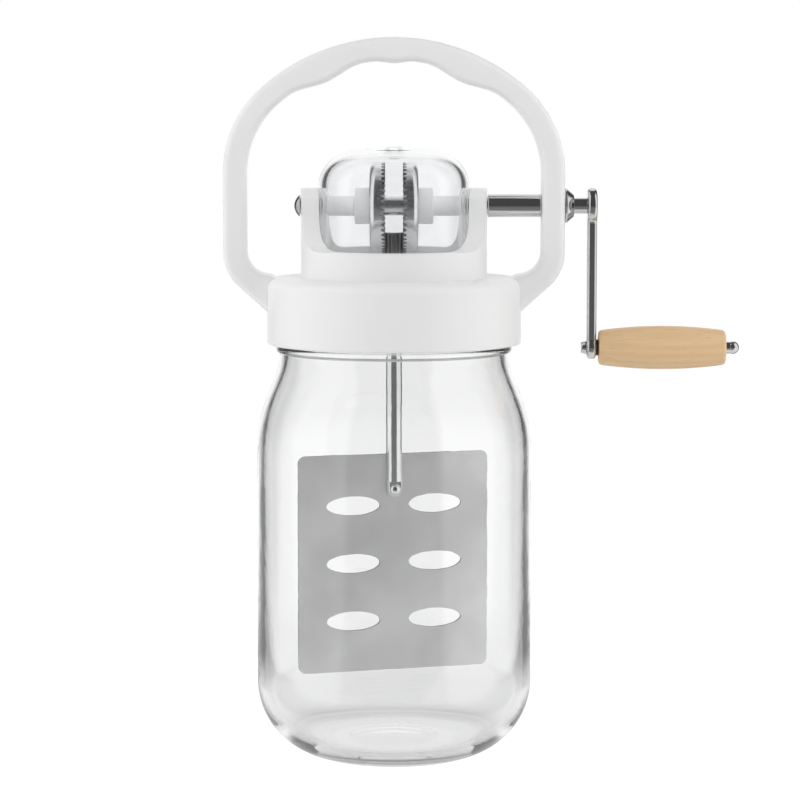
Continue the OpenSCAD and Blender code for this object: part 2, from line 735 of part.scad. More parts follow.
module shaft_cap() {
    round_r = (cap_d * cap_d / 4 + cap_h * cap_h) / (2 * cap_h);
    color("silver") difference() {
        on_shaft(-ear_x) mirror([0, 0, 1]) rotate_extrude() polygon(concat(
            [[0, 0]], arc(0, cap_h - round_r, round_r, 90 - asin(cap_d / 2 / round_r), 90, 8)));
        on_shaft(-ear_x - cap_h + cap_roof - seat) cylinder(r = cap_stub_d / 2 + seat, h = cap_h);
    }
}

module spacer_tube() {
    color("silver") on_shaft(ear_x) ring(shaft_r + seat, tube_d / 2, leg_in_x - end_gap - ear_x);
}

module cone_washer() {
    color("silver") on_shaft(cone_x) difference() {
        cylinder(d1 = cone_d, d2 = cone_end_d, h = cone_l);
        translate([0, 0, -cut]) cylinder(r = shaft_r + seat, h = cone_l + 2 * cut);
    }
}

// Outline of the arm in Y and Z, with the shaft at its origin: a slim bar that flows into a round at each end
module arm_outline() {
    big_r = arm_boss_d / 2;
    small_r = arm_end_d / 2;
    side = arm_w / 2 + arm_hollow_r;
    big_a = acos(side / (big_r + arm_hollow_r));
    small_a = acos(side / (small_r + arm_hollow_r));
    big_z = -(big_r + arm_hollow_r) * sin(big_a);
    small_z = (small_r + arm_hollow_r) * sin(small_a) - arm_l;
    polygon(concat(
        arc(0, 0, big_r, -big_a, 180 + big_a, 24),
        arc(-side, big_z, arm_hollow_r, big_a, 0),
        arc(-side, small_z, arm_hollow_r, 0, -small_a),
        arc(0, -arm_l, small_r, 180 - small_a, 360 + small_a, 16),
        arc(side, small_z, arm_hollow_r, 180 + small_a, 180),
        arc(side, big_z, arm_hollow_r, 180, 180 - big_a)));
}

module crank_arm() {
    hole_w = square_w + 2 * seat;
    color("silver") translate([arm_x, 0, shaft_z]) along_x(arm_t) difference() {
        arm_outline();
        square(hole_w, center = true);
        translate([0, -arm_l]) circle(pin_d / 2 + seat);
    }
}

module grip_pin() {
    color("silver") translate([0, 0, -arm_l]) {
        on_shaft(arm_x) cylinder(d = pin_d, h = ball_x + ball_neck_l - arm_x);
        on_shaft(arm_x - pin_head_h) cylinder(d1 = pin_head_end_d, d2 = pin_head_d, h = pin_head_h);
    }
}

module grip_washer() {
    color("dimgray") translate([0, 0, -arm_l]) on_shaft(arm_out_x)
        ring(pin_d / 2 + seat, grip_washer_d / 2, grip_washer_t);
}

module wooden_grip() {
    swell = (grip_d - grip_end_d) / 2;
    barrel_r = (grip_l * grip_l / 4 + swell * swell) / (2 * swell);
    half_a = asin((grip_l / 2 - grip_edge) / barrel_r);
    bore_r = pin_d / 2 + run;
    color("burlywood") translate([0, 0, -arm_l]) on_shaft(grip_x) rotate_extrude() polygon(concat(
        [[bore_r, 0], [grip_end_d / 2 - grip_edge, 0]],
        arc(grip_d / 2 - barrel_r, grip_l / 2, barrel_r, -half_a, half_a),
        [[grip_end_d / 2 - grip_edge, grip_l], [bore_r, grip_l]]));
}

module grip_ball_nut() {
    color("silver") translate([0, 0, -arm_l]) difference() {
        union() {
            on_shaft(ball_x) cylinder(d = ball_neck_d, h = ball_neck_l);
            on_shaft(ball_x + ball_neck_l) sphere(d = ball_d);
        }
        on_shaft(ball_x - cut) cylinder(r = pin_d / 2 + seat, h = ball_neck_l + cut + seat);
    }
}

glass_jar();
lid_gasket();
screw_lid();
gear_housing();
clear_cover();
carry_handle();
housing_screws();
rod_bush();
rod_seal();
paddle_rod();
paddle_blade();
blade_rivet();
pinion();
thrust_washer();
rod_clip();
drive_crown();
drive_hub();
idler_crown();
idler_hub();
right_sleeve();
left_sleeve();
gear_spacer();
crank_shaft();
shaft_cap();
spacer_tube();
cone_washer();
crank_arm();
grip_pin();
grip_washer();
wooden_grip();
grip_ball_nut();
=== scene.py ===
"""Looks of a glass jar butter churn: glass, plastic, steel and beech over its packed construction."""

import json
import math

import bmesh
import bpy
from mathutils import Matrix, Vector


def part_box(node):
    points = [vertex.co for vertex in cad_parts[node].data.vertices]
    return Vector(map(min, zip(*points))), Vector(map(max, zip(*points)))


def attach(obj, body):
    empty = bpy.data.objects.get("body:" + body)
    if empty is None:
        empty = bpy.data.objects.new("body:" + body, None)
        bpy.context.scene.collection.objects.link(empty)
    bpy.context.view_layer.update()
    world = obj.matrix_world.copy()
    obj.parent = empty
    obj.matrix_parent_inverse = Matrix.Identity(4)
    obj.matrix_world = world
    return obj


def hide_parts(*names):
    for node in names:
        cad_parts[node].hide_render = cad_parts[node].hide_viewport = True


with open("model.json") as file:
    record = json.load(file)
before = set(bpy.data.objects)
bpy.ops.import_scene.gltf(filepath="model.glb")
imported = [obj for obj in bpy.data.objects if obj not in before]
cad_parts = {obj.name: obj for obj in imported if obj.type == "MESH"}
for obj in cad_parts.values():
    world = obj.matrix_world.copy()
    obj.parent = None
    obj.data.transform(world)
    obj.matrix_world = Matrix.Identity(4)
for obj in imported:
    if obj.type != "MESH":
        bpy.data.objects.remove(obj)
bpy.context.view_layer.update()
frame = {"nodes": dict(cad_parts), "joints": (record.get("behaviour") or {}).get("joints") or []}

MM = 0.001
NODES = frame["nodes"]
JOINT_AT = {joint["name"]: Vector(joint["pos_m"]) for joint in frame["joints"] if "pos_m" in joint}


def low(node):
    """Lowest corner of a construction node."""
    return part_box(node)[0]


def high(node):
    """Highest corner of a construction node."""
    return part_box(node)[1]


# Sizes that the frame gives, in metres
SHAFT_Z = JOINT_AT["crank_turn"].z
GRIP_Z = JOINT_AT["grip_spin"].z
JAR_R = high("glass_jar").x
RIM_Z = high("glass_jar").z
LID_R = high("screw_lid").x
LID_Z = high("screw_lid").z
SKIRT_Z = low("screw_lid").z
LID_UNDER_Z = high("lid_gasket").z
HOUSE_R = high("gear_housing").x
HOUSE_TOP_Z = high("gear_housing").z
COVER_R = high("clear_cover").x
COVER_Z = high("clear_cover").z
COVER_FOOT_Z = low("clear_cover").z

# Bores, fits and small edges
SHAFT_R = 3.2 * MM
BUSH_R = 5 * MM
RUN_GAP = 0.05 * MM
RING_GAP = 0.03 * MM
SEAT_GAP = 0.02 * MM
LOOSE_GAP = 0.25 * MM
RING_EDGE_R = 0.4 * MM
THIN_EDGE_R = 0.3 * MM

# Glass jar
NECK_R = 45.5 * MM
GLASS_T = 3 * MM
GLASS_FLOOR = 5 * MM
HEEL_R = 30 * MM
SHOULDER_R = 62 * MM
HOLLOW_R = 22 * MM
SLOPE_L = 9.5 * MM
NECK_H = 23.4 * MM
BEAD_DOWN = 22.2 * MM
BEAD_OUT = 1.5 * MM
BEAD_H = 3 * MM
FOOT_W = 6 * MM
PUNT_H = 1.5 * MM
# Painted shade in rings low on the outside of the heel, for the dark reflections and refractions of its
# thick glass: height in millimetres and how much light they let through
HEEL_PAINTED_SHADE = ((0, 1), (2, 0.6), (3.2, 0.3), (4, 0.1), (4.9, 0.35),
              (5.9, 0.03), (6.8, 0.4), (9.5, 0.88), (12, 1))
# Cone that parts the outside of the heel from its inside: its slope, and its soft edge at the foot
HEEL_CONE = 1.15
HEEL_CONE_EDGE = (32 * MM, 34 * MM)
# Share of the rings that shows where the glass is looked through, and the change to looking along it
HEEL_THROUGH = 0.4
HEEL_GLANCE = (0.4, 0.62)

# Screw thread of the neck and the lid
THREAD_PITCH = 5.5 * MM
THREAD_W = 3.2 * MM
THREAD_OUT = 1.15 * MM
THREAD_TURNS = 1.6
# Part of a turn over which the thread runs out, and how full its rounded section is
THREAD_RUN_OUT = 0.06
THREAD_POWER = 0.7
# Plain wall that the thread leaves on the neck and in the lid
NECK_PLAIN = 1 * MM
LID_PLAIN = 2 * MM

# Lid, housing and cover
LID_WALL = 2.6 * MM
LID_EDGE_R = 4 * MM
SKIRT_EDGE_R = 0.9 * MM
SCREW_CIRCLE_R = 22 * MM
SCREW_COUNT = 4
SCREW_HEAD_R = 3.4 * MM
SCREW_HEAD_H = 2 * MM
HOUSE_H = 11 * MM
HOUSE_EDGE_R = 1 * MM
HOUSE_SEAT_R = 0.8 * MM
EAR_HALF_W = 8.5 * MM
EAR_CORNER_R = 5 * MM
EAR_SWEEP_R = 14 * MM
COVER_T = 2.8 * MM
COVER_EDGE_R = 15 * MM
COVER_FOOT_R = 0.6 * MM
COVER_GAP = 0.8 * MM
COVER_BOSS_R = 4.2 * MM
COVER_BOSS_H = 0.7 * MM
COVER_CROWN = 0.42 * MM
COVER_CROWN_R = 226 * MM

# Carrying handle, its turns and spreads in degrees
HANDLE_T = 9 * MM
HANDLE_EDGE_R = 2.6 * MM
LEG_H = 41.2 * MM
BEND_R = 45 * MM
FOOT_R = 9 * MM
SOLE_T = 1.2 * MM
FOOT_TURN = 48
TOE_L = 6.6 * MM
SWELL_H = 3 * MM
SWELL_TURN = 23.5
SWELL_SPREAD = 14
RIDGE_H = 1.1 * MM
RIDGE_SPREAD = 7

# Crank arm, its washer and cap, the grip and the gears
ARM_END_R = 4.6 * MM
ARM_W = 7.4 * MM
ARM_HOLLOW_R = 2 * MM
ARM_EDGE_R = 1.3 * MM
ARM_SQUARE = 4.2 * MM
ARM_PIN_R = 1.8 * MM
WASHER_TIP_R = 4.4 * MM
WASHER_RIM_T = 0.8 * MM
CAP_BEVEL_TURN = 3
GRIP_END_R = 6.85 * MM
GRIP_EDGE_R = 1.1 * MM
GRIP_BORE_R = 1.85 * MM
TOOTH_H = 1.1 * MM
TOOTH_EDGE_R = 0.1 * MM
CROWN_EDGE_R = 1.4 * MM
BLADE_EDGE_R = 0.15 * MM
# A face of the blade that turns further than this cosine from the flat is part of its sheared edge
SHEARED_COSINE = 0.8

# Beech: its colours, and the middle of its rings in front of and above the axis of the grip
EARLY_WOOD = (0.8, 0.56, 0.32, 1)
LATE_WOOD = (0.765, 0.52, 0.288, 1)
FLECK_BROWN = (0.42, 0.24, 0.11, 1)
PITH_FRONT = 18 * MM
PITH_ABOVE = 12 * MM

# Camera, from the vanishing of the photographed ellipses
CAMERA_LENS = 126
CAMERA_SENSOR = 36
CAMERA_AT = Vector((2.4 * MM, -1.1147, 0.2576))
CAMERA_DIP = 5.87

# Studio: point that the lamps face
LAMP_AIM = Vector((0, 0, 0.18))
# Level of the dim room in glass and metal, and light on matt surfaces from the front and the back
ROOM_DIM = 0.08
MATT_FRONT = 0.25
MATT_BACK = 0.4
# Half width of the floor, and its glow to the camera, in glass and metal, and in the shade of the jar
FLOOR_HALF = 6
FLOOR_GLOW = 1.18
FLOOR_MIRRORED = 1.1
UNDER_JAR = 0.75
BESIDE_JAR = 0.9
FLOOR_GLOW_SHARE = 0.8
# Where the shade under the jar and beside it fades, in radii of the jar
UNDER_FADE = (0.4, 1.6)
BESIDE_FADE = (2, 7)
# Reach of the white floor round the object, past which it is panelled like the room
NEAR_FLOOR = (0.12, 0.25)
# Height of the dim ceiling, as the sine of its elevation
CEILING_EDGE = (0.86, 0.94)
# Height and level of the light overhead that reaches what stands behind clear walls
OVERHEAD_EDGE = (0.92, 0.97)
OVERHEAD_LEVEL = 0.4
# Edges of the dim front and of the dark gaps beside the backdrop, as cosines from straight behind
FRONT_EDGE = (-0.82, -0.72)
GAP_SIDE_EDGE = (0.22, 0.5)
GAP_BACK_EDGE = (0.93, 0.86)
# Edges of the change from the front to the back of the light on matt surfaces
MATT_EDGE = (-0.5, 0.5)

# Faces round a turned piece, round the jar and its lid, and round a cutting tool
TURN_STEPS = 128
JAR_STEPS = 192
TOOL_STEPS = 64
# How far a cutting tool reaches past what it cuts, and how near a vertex lies to a surface that it is on
OVERCUT = 1 * MM
ON_SURFACE = 0.05 * MM
MERGE_DIST = 1e-6
# Faces that bend less than the first angle are one flat, and edges past the second stay sharp
FLAT_ANGLE = math.radians(0.3)
SHARP_ANGLE = math.radians(34)
# Stands a flat outline across the shaft: its x along Y, its y along Z and its thickness along X
ACROSS_SHAFT = Matrix(((0, 0, 1, 0), (1, 0, 0, 0), (0, 1, 0, 0), (0, 0, 0, 1)))
# Grain that runs the same way in all directions
EVEN = (1, 1, 1)


# Outlines
def on_circle(x, y, radius, angle):
    """Point on a circle at an angle in degrees."""
    turn = math.radians(angle)
    return x + radius * math.cos(turn), y + radius * math.sin(turn)


def arc(x, y, radius, start, end, steps=10):
    """Points on a round stretch between two angles in degrees."""
    return [on_circle(x, y, radius, start + (end - start) * i / steps) for i in range(steps + 1)]


def rounded(corners, closed=True, steps=5):
    """Outline through corners (x, y, radius), each rounded by its own radius."""
    points = []
    last = len(corners) - 1
    for i, (x, y, radius) in enumerate(corners):
        if radius == 0 or (not closed and i in (0, last)):
            points.append((x, y))
            continue
        here = Vector((x, y))
        back = Vector(corners[i - 1][:2]) - here
        ahead = Vector(corners[(i + 1) % len(corners)][:2]) - here
        half = back.angle(ahead) / 2
        reach = min(radius / math.tan(half), back.length / 2, ahead.length / 2)
        radius = reach * math.tan(half)
        middle = here + (back.normalized() + ahead.normalized()).normalized() * radius / math.sin(half)
        first = here + back.normalized() * reach - middle
        sweep = first.angle_signed(here + ahead.normalized() * reach - middle)
        for k in range(steps + 1):
            turn = Matrix.Rotation(-sweep * k / steps, 2)
            points.append(tuple(middle + turn @ first))
    return points


def ring_section(inner_r, outer_r, start, end):
    """Section of a turned ring, its four edges rounded."""
    edge = RING_EDGE_R
    return rounded([(inner_r, start, edge), (outer_r, start, edge),
                    (outer_r, end, edge), (inner_r, end, edge)])


def bump(u):
    """Smooth rise from 0 at -1 to 1 at 0 and back."""
    return (1 + math.cos(math.pi * u)) / 2 if abs(u) < 1 else 0


# Mesh tools
def turned(outline, closed=True, steps=TURN_STEPS):
    """Lathe: spins an outline of (radius, height) about the Z axis."""
    bm = bmesh.new()
    verts = [bm.verts.new((r, 0, z)) for r, z in outline]
    edges = [bm.edges.new(pair) for pair in zip(verts, verts[1:])]
    if closed:
        edges.append(bm.edges.new((verts[-1], verts[0])))
    bmesh.ops.spin(bm, geom=verts + edges, cent=(0, 0, 0), axis=(0, 0, 1), dvec=(0, 0, 0),
                   angle=2 * math.pi, steps=steps, use_merge=True)
    bmesh.ops.remove_doubles(bm, verts=bm.verts, dist=MERGE_DIST)
    bmesh.ops.recalc_face_normals(bm, faces=bm.faces)
    return bm


def plate(outline, thickness, place):
    """Flat outline extruded along +Z, then placed by a matrix."""
    bm = bmesh.new()
    face = bm.faces.new([bm.verts.new((x, y, 0)) for x, y in outline])
    grown = bmesh.ops.extrude_face_region(bm, geom=[face])
    tops = [v for v in grown["geom"] if isinstance(v, bmesh.types.BMVert)]
    bmesh.ops.translate(bm, verts=tops, vec=(0, 0, thickness))
    bmesh.ops.transform(bm, matrix=place, verts=bm.verts)
    bmesh.ops.recalc_face_normals(bm, faces=bm.faces)
    return bm


def on_shaft(bm, x=0.0, z=SHAFT_Z):
    """Lays a piece turned about Z along the crank shaft, its zero at x."""
    bmesh.ops.rotate(bm, verts=bm.verts, cent=(0, 0, 0), matrix=Matrix.Rotation(math.pi / 2, 3, "Y"))
    bmesh.ops.translate(bm, verts=bm.verts, vec=(x, 0, z))
    return bm


def pin_tool(radius, start, end):
    """Round cutting tool along Z."""
    outline = [(0, start), (radius, start), (radius, end), (0, end)]
    return turned(outline, closed=False, steps=TOOL_STEPS)


def as_object(name, bm):
    """New object in the scene from a mesh under construction."""
    mesh = bpy.data.meshes.new(name)
    bm.to_mesh(mesh)
    bm.free()
    made = bpy.data.objects.new(name, mesh)
    bpy.context.scene.collection.objects.link(made)
    return made


def carved(bm, tool, operation="DIFFERENCE"):
    """Cuts a mesh with another, or keeps what they share."""
    body = as_object("carved_body", bm)
    cutter = as_object("carved_tool", tool)
    cut = body.modifiers.new("cut", "BOOLEAN")
    cut.object = cutter
    cut.operation = operation
    cut.solver = "EXACT"
    done = body.evaluated_get(bpy.context.evaluated_depsgraph_get()).to_mesh()
    result = bmesh.new()
    result.from_mesh(done)
    for used in (body, cutter):
        mesh = used.data
        bpy.data.objects.remove(used)
        bpy.data.meshes.remove(mesh)
    bmesh.ops.remove_doubles(result, verts=result.verts, dist=MERGE_DIST)
    bmesh.ops.dissolve_degenerate(result, edges=result.edges, dist=MERGE_DIST)
    return result


def flattened(bm):
    """Joins the faces that make up each flat of a mesh."""
    bmesh.ops.dissolve_limit(bm, angle_limit=FLAT_ANGLE, verts=bm.verts, edges=bm.edges)
    return bm


def copy_of(node):
    """Merged copy of a construction node, its flat faces joined."""
    bm = bmesh.new()
    bm.from_mesh(NODES[node].data)
    bmesh.ops.remove_doubles(bm, verts=bm.verts, dist=MERGE_DIST)
    return flattened(bm)


def bevelled(bm, edges, radius, segments):
    """Rounds chosen edges of a mesh."""
    bmesh.ops.bevel(bm, geom=edges, offset=radius, offset_type="OFFSET", affect="EDGES",
                    segments=segments, profile=0.5, material=-1, clamp_overlap=True)
    return bm


def eased(bm, radius, segments=3, sharper_than=35):
    """Rounds the edges of a mesh that are sharper than an angle in degrees."""
    limit = math.radians(sharper_than)
    edges = [e for e in bm.edges if e.is_manifold and e.calc_face_angle() > limit]
    return bevelled(bm, edges, radius, segments)


def piece(name, bm, finish, body, node):
    """Finished piece: smooth, in its material, on its body, in place of a construction node."""
    made = as_object(name, bm)
    for face in made.data.polygons:
        face.use_smooth = True
    made.data.set_sharp_from_angle(angle=SHARP_ANGLE)
    even = made.modifiers.new("even_shading", "WEIGHTED_NORMAL")
    even.keep_sharp = True
    made.data.materials.append(finish)
    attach(made, body)
    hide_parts(node)
    return made


# Material tools
def new_material(name):
    """Material with its node tree and its shader."""
    made = bpy.data.materials.new(name)
    made.use_nodes = True
    return made, made.node_tree, made.node_tree.nodes["Principled BSDF"]


def add_node(tree, kind, inputs=None, **settings):
    """New node with its settings and its unlinked inputs."""
    node = tree.nodes.new(kind)
    for key, value in settings.items():
        setattr(node, key, value)
    for key, value in (inputs or {}).items():
        node.inputs[key].default_value = value
    return node


def set_shader(shader, **values):
    """Plain values on the shader's own sockets, with underscores for spaces."""
    for key, value in values.items():
        shader.inputs[key.replace("_", " ")].default_value = value


def feed(tree, given, socket):
    """Gives a socket a number or the value of another socket."""
    if isinstance(given, (int, float)):
        socket.default_value = given
    else:
        tree.links.new(given, socket)


def ramp(tree, socket, start, end):
    """Smooth step of a value from 0 at start to 1 at end."""
    step = add_node(tree, "ShaderNodeMapRange", {"From Min": start, "From Max": end},
                    interpolation_type="SMOOTHSTEP")
    tree.links.new(socket, step.inputs["Value"])
    return step.outputs[0]


def combine(tree, operation, first, second):
    """Sum, product or greatest of two values, each a socket or a number."""
    node = add_node(tree, "ShaderNodeMath", operation=operation)
    feed(tree, first, node.inputs[0])
    feed(tree, second, node.inputs[1])
    return node.outputs[0]


def inverse(tree, socket):
    """What a value lacks of 1."""
    return combine(tree, "SUBTRACT", 1, socket)


def choose(tree, factor, first, second):
    """First value where the factor is 0, second value where it is 1."""
    node = add_node(tree, "ShaderNodeMix", data_type="FLOAT")
    for given, title in ((factor, "Factor"), (first, "A"), (second, "B")):
        feed(tree, given, node.inputs[title])
    return node.outputs["Result"]


def new_group(name, inputs, outputs):
    """Empty shader group with its sockets: (tree, input node, output node)."""
    tree = bpy.data.node_groups.new(name, "ShaderNodeTree")
    for title, kind, default in inputs:
        socket = tree.interface.new_socket(title, in_out="INPUT", socket_type=kind)
        socket.default_value = default
    for title, kind in outputs:
        tree.interface.new_socket(title, in_out="OUTPUT", socket_type=kind)
    return tree, tree.nodes.new("NodeGroupInput"), tree.nodes.new("NodeGroupOutput")


def grain_group():
    """Streaks or specks: noise stretched along an axis, as a roughness and a height."""
    tree, given, out = new_group("surface_grain", [
        ("Stretch", "NodeSocketVector", EVEN),
        ("Scale", "NodeSocketFloat", 200),
        ("Smooth", "NodeSocketFloat", 0.2),
        ("Rough", "NodeSocketFloat", 0.3),
    ], [("Roughness", "NodeSocketFloat"), ("Height", "NodeSocketFloat")])
    place = add_node(tree, "ShaderNodeTexCoord")
    stretch = add_node(tree, "ShaderNodeVectorMath", operation="MULTIPLY")
    noise = add_node(tree, "ShaderNodeTexNoise", {"Detail": 4, "Roughness": 0.6})
    spread = add_node(tree, "ShaderNodeMapRange", {"From Min": 0.3, "From Max": 0.7})
    level = add_node(tree, "ShaderNodeMapRange")
    tree.links.new(place.outputs["Object"], stretch.inputs[0])
    tree.links.new(given.outputs["Stretch"], stretch.inputs[1])
    tree.links.new(stretch.outputs[0], noise.inputs["Vector"])
    tree.links.new(given.outputs["Scale"], noise.inputs["Scale"])
    tree.links.new(noise.outputs["Fac"], spread.inputs["Value"])
    tree.links.new(spread.outputs[0], level.inputs["Value"])
    tree.links.new(given.outputs["Smooth"], level.inputs["To Min"])
    tree.links.new(given.outputs["Rough"], level.inputs["To Max"])
    tree.links.new(level.outputs[0], out.inputs["Roughness"])
    tree.links.new(noise.outputs["Fac"], out.inputs["Height"])
    return tree


def cloud_group():
    """Broad soft clouds that shade a colour between two tones."""
    tree, given, out = new_group("soft_clouds", [
        ("Scale", "NodeSocketFloat", 20),
        ("Light", "NodeSocketColor", (1, 1, 1, 1)),
        ("Dark", "NodeSocketColor", (0.8, 0.8, 0.8, 1)),
    ], [("Color", "NodeSocketColor")])
    place = add_node(tree, "ShaderNodeTexCoord")
    noise = add_node(tree, "ShaderNodeTexNoise", {"Detail": 3, "Roughness": 0.5})
    spread = add_node(tree, "ShaderNodeMapRange", {"From Min": 0.35, "From Max": 0.65})
    tone = add_node(tree, "ShaderNodeMix", data_type="RGBA")
    tree.links.new(place.outputs["Object"], noise.inputs["Vector"])
    tree.links.new(given.outputs["Scale"], noise.inputs["Scale"])
    tree.links.new(noise.outputs["Fac"], spread.inputs["Value"])
    tree.links.new(spread.outputs[0], tone.inputs["Factor"])
    tree.links.new(given.outputs["Light"], tone.inputs["A"])
    tree.links.new(given.outputs["Dark"], tone.inputs["B"])
    tree.links.new(tone.outputs["Result"], out.inputs["Color"])
    return tree


GRAIN = grain_group()
CLOUDS = cloud_group()


def add_grain(tree, shader, scale, smooth, rough, stretch=EVEN, depth=0):
    """Grain that varies the roughness of a shader and raises its surface by depth."""
    values = {"Stretch": stretch, "Scale": scale, "Smooth": smooth, "Rough": rough}
    grain = add_node(tree, "ShaderNodeGroup", values, node_tree=GRAIN)
    tree.links.new(grain.outputs["Roughness"], shader.inputs["Roughness"])
    if depth:
        relief = add_node(tree, "ShaderNodeBump", {"Strength": 1.0, "Distance": depth})
        tree.links.new(grain.outputs["Height"], relief.inputs["Height"])
        tree.links.new(relief.outputs[0], shader.inputs["Normal"])


def add_clouds(tree, shader, light, dark, scale):
    """Clouds that shade the colour of a shader."""
    values = {"Scale": scale, "Light": (*light, 1), "Dark": (*dark, 1)}
    clouds = add_node(tree, "ShaderNodeGroup", values, node_tree=CLOUDS)
    tree.links.new(clouds.outputs["Color"], shader.inputs["Base Color"])


# Materials
def grey(level):
    """Neutral colour of a level."""
    return (level, level, level)


def moulded_plastic(name, light, dark, smooth, rough):
    """Injection moulded plastic with a faint orange-peel skin."""
    made, tree, shader = new_material(name)
    set_shader(shader, IOR=1.49)
    add_clouds(tree, shader, light, dark, scale=14)
    add_grain(tree, shader, scale=900, smooth=smooth, rough=rough, depth=0.004 * MM)
    return made


def metal(name, light, dark, grain_scale, smooth, rough, stretch=EVEN, depth=0, cloud_scale=30):
    """Bare metal with brushed or ground lines and soft clouds of tone."""
    made, tree, shader = new_material(name)
    set_shader(shader, Metallic=1)
    add_clouds(tree, shader, light, dark, cloud_scale)
    add_grain(tree, shader, grain_scale, smooth, rough, stretch, depth)
    return made


def clear_material(name, color, ior, wave_scale, wave_depth, smooth, rough):
    """Clear glass or plastic, a little wavy, that lamps shine through."""
    made, tree, shader = new_material(name)
    set_shader(shader, Base_Color=(*color, 1), Transmission_Weight=1, IOR=ior)
    add_grain(tree, shader, wave_scale, smooth, rough, depth=wave_depth)
    path = add_node(tree, "ShaderNodeLightPath")
    through = add_node(tree, "ShaderNodeBsdfTransparent")
    mix = add_node(tree, "ShaderNodeMixShader")
    tree.links.new(path.outputs["Is Shadow Ray"], mix.inputs[0])
    tree.links.new(shader.outputs[0], mix.inputs[1])
    tree.links.new(through.outputs[0], mix.inputs[2])
    tree.links.new(mix.outputs[0], tree.nodes["Material Output"].inputs["Surface"])
    return made


def paint_heel_shade(material):
    """Painted shade: darkens the glass in rings low on the outside of the heel, most where it is looked
    along, for the dark reflections in the thick heel.
    """
    tree = material.node_tree
    shader = tree.nodes["Principled BSDF"]
    clear = shader.inputs["Base Color"].default_value[:]
    place = add_node(tree, "ShaderNodeTexCoord")
    split = add_node(tree, "ShaderNodeSeparateXYZ")
    flat = add_node(tree, "ShaderNodeVectorMath", {1: (1, 1, 0)}, operation="MULTIPLY")
    reach = add_node(tree, "ShaderNodeVectorMath", operation="LENGTH")
    tree.links.new(place.outputs["Object"], split.inputs[0])
    tree.links.new(place.outputs["Object"], flat.inputs[0])
    tree.links.new(flat.outputs[0], reach.inputs[0])
    lean = combine(tree, "MULTIPLY", split.outputs["Z"], HEEL_CONE)
    outside = ramp(tree, combine(tree, "SUBTRACT", reach.outputs["Value"], lean), *HEEL_CONE_EDGE)
    top = HEEL_PAINTED_SHADE[-1][0]
    height = add_node(tree, "ShaderNodeMapRange", {"From Max": top * MM})
    tree.links.new(split.outputs["Z"], height.inputs["Value"])
    tone = add_node(tree, "ShaderNodeValToRGB")
    stops = tone.color_ramp.elements
    for at, _ in HEEL_PAINTED_SHADE[1:-1]:
        stops.new(at / top)
    for stop, (_, level) in zip(stops, HEEL_PAINTED_SHADE):
        stop.color = [level * part for part in clear[:3]] + [1]
    tree.links.new(height.outputs[0], tone.inputs[0])
    mix = add_node(tree, "ShaderNodeMix", {"A": clear}, data_type="RGBA")
    glance = add_node(tree, "ShaderNodeLayerWeight", {"Blend": 0.5})
    share = choose(tree, ramp(tree, glance.outputs["Facing"], *HEEL_GLANCE), HEEL_THROUGH, 1.0)
    tree.links.new(combine(tree, "MULTIPLY", outside, share), mix.inputs["Factor"])
    tree.links.new(tone.outputs[0], mix.inputs["B"])
    tree.links.new(mix.outputs["Result"], shader.inputs["Base Color"])


def beech():
    """Pale beech turned along X: long grain, darker late wood and short dark flecks."""
    made, tree, shader = new_material("oiled_beech")
    set_shader(shader, IOR=1.45, Coat_Weight=0.12, Coat_Roughness=0.3)
    place = add_node(tree, "ShaderNodeTexCoord")
    along = add_node(tree, "ShaderNodeMapping",
                     {"Location": (0, PITH_FRONT, -GRIP_Z - PITH_ABOVE), "Scale": (0.12, 1, 1)})
    rings = add_node(tree, "ShaderNodeTexWave",
                     {"Scale": 95, "Distortion": 5, "Detail": 3, "Detail Scale": 0.8},
                     wave_type="RINGS", rings_direction="X")
    tone = add_node(tree, "ShaderNodeValToRGB")
    tone.color_ramp.elements[0].color = EARLY_WOOD
    tone.color_ramp.elements[1].color = LATE_WOOD
    fleck_place = add_node(tree, "ShaderNodeMapping", {"Scale": (90, 1500, 1500)})
    fleck = add_node(tree, "ShaderNodeTexNoise", {"Scale": 1, "Detail": 2})
    fleck_mask = add_node(tree, "ShaderNodeMapRange", {"From Min": 0.6, "From Max": 0.74, "To Max": 0.3})
    dark = add_node(tree, "ShaderNodeMix", {"B": FLECK_BROWN}, data_type="RGBA")
    links = tree.links
    links.new(place.outputs["Object"], along.inputs["Vector"])
    links.new(along.outputs[0], rings.inputs["Vector"])
    links.new(rings.outputs["Fac"], tone.inputs[0])
    links.new(place.outputs["Object"], fleck_place.inputs["Vector"])
    links.new(fleck_place.outputs[0], fleck.inputs["Vector"])
    links.new(fleck.outputs["Fac"], fleck_mask.inputs["Value"])
    links.new(fleck_mask.outputs[0], dark.inputs["Factor"])
    links.new(tone.outputs[0], dark.inputs["A"])
    links.new(dark.outputs["Result"], shader.inputs["Base Color"])
    add_grain(tree, shader, scale=1400, smooth=0.42, rough=0.58, stretch=(0.06, 1, 1), depth=0.02 * MM)
    return made


WHITE = moulded_plastic("white_plastic", grey(0.87), grey(0.85), smooth=0.3, rough=0.38)
PALE = moulded_plastic("pale_plastic", grey(0.92), grey(0.89), smooth=0.35, rough=0.45)
SILICONE = moulded_plastic("silicone", (0.8, 0.8, 0.79), (0.76, 0.76, 0.75), smooth=0.5, rough=0.6)
RUBBER = moulded_plastic("dark_rubber", grey(0.03), grey(0.02), smooth=0.55, rough=0.7)
GLASS = clear_material("clear_glass", (0.966, 0.968, 0.968), ior=1.5,
                       wave_scale=22, wave_depth=0.14 * MM, smooth=0.0, rough=0.012)
# Painted shade: dark rings on the heel of the jar's glass
paint_heel_shade(GLASS)
CLEAR = clear_material("clear_plastic", (0.97, 0.975, 0.98), ior=1.49,
                       wave_scale=30, wave_depth=0.03 * MM, smooth=0.01, rough=0.03)
POLISHED = metal("polished_steel", (0.7, 0.7, 0.71), (0.62, 0.62, 0.63),
                 grain_scale=600, smooth=0.07, rough=0.14)
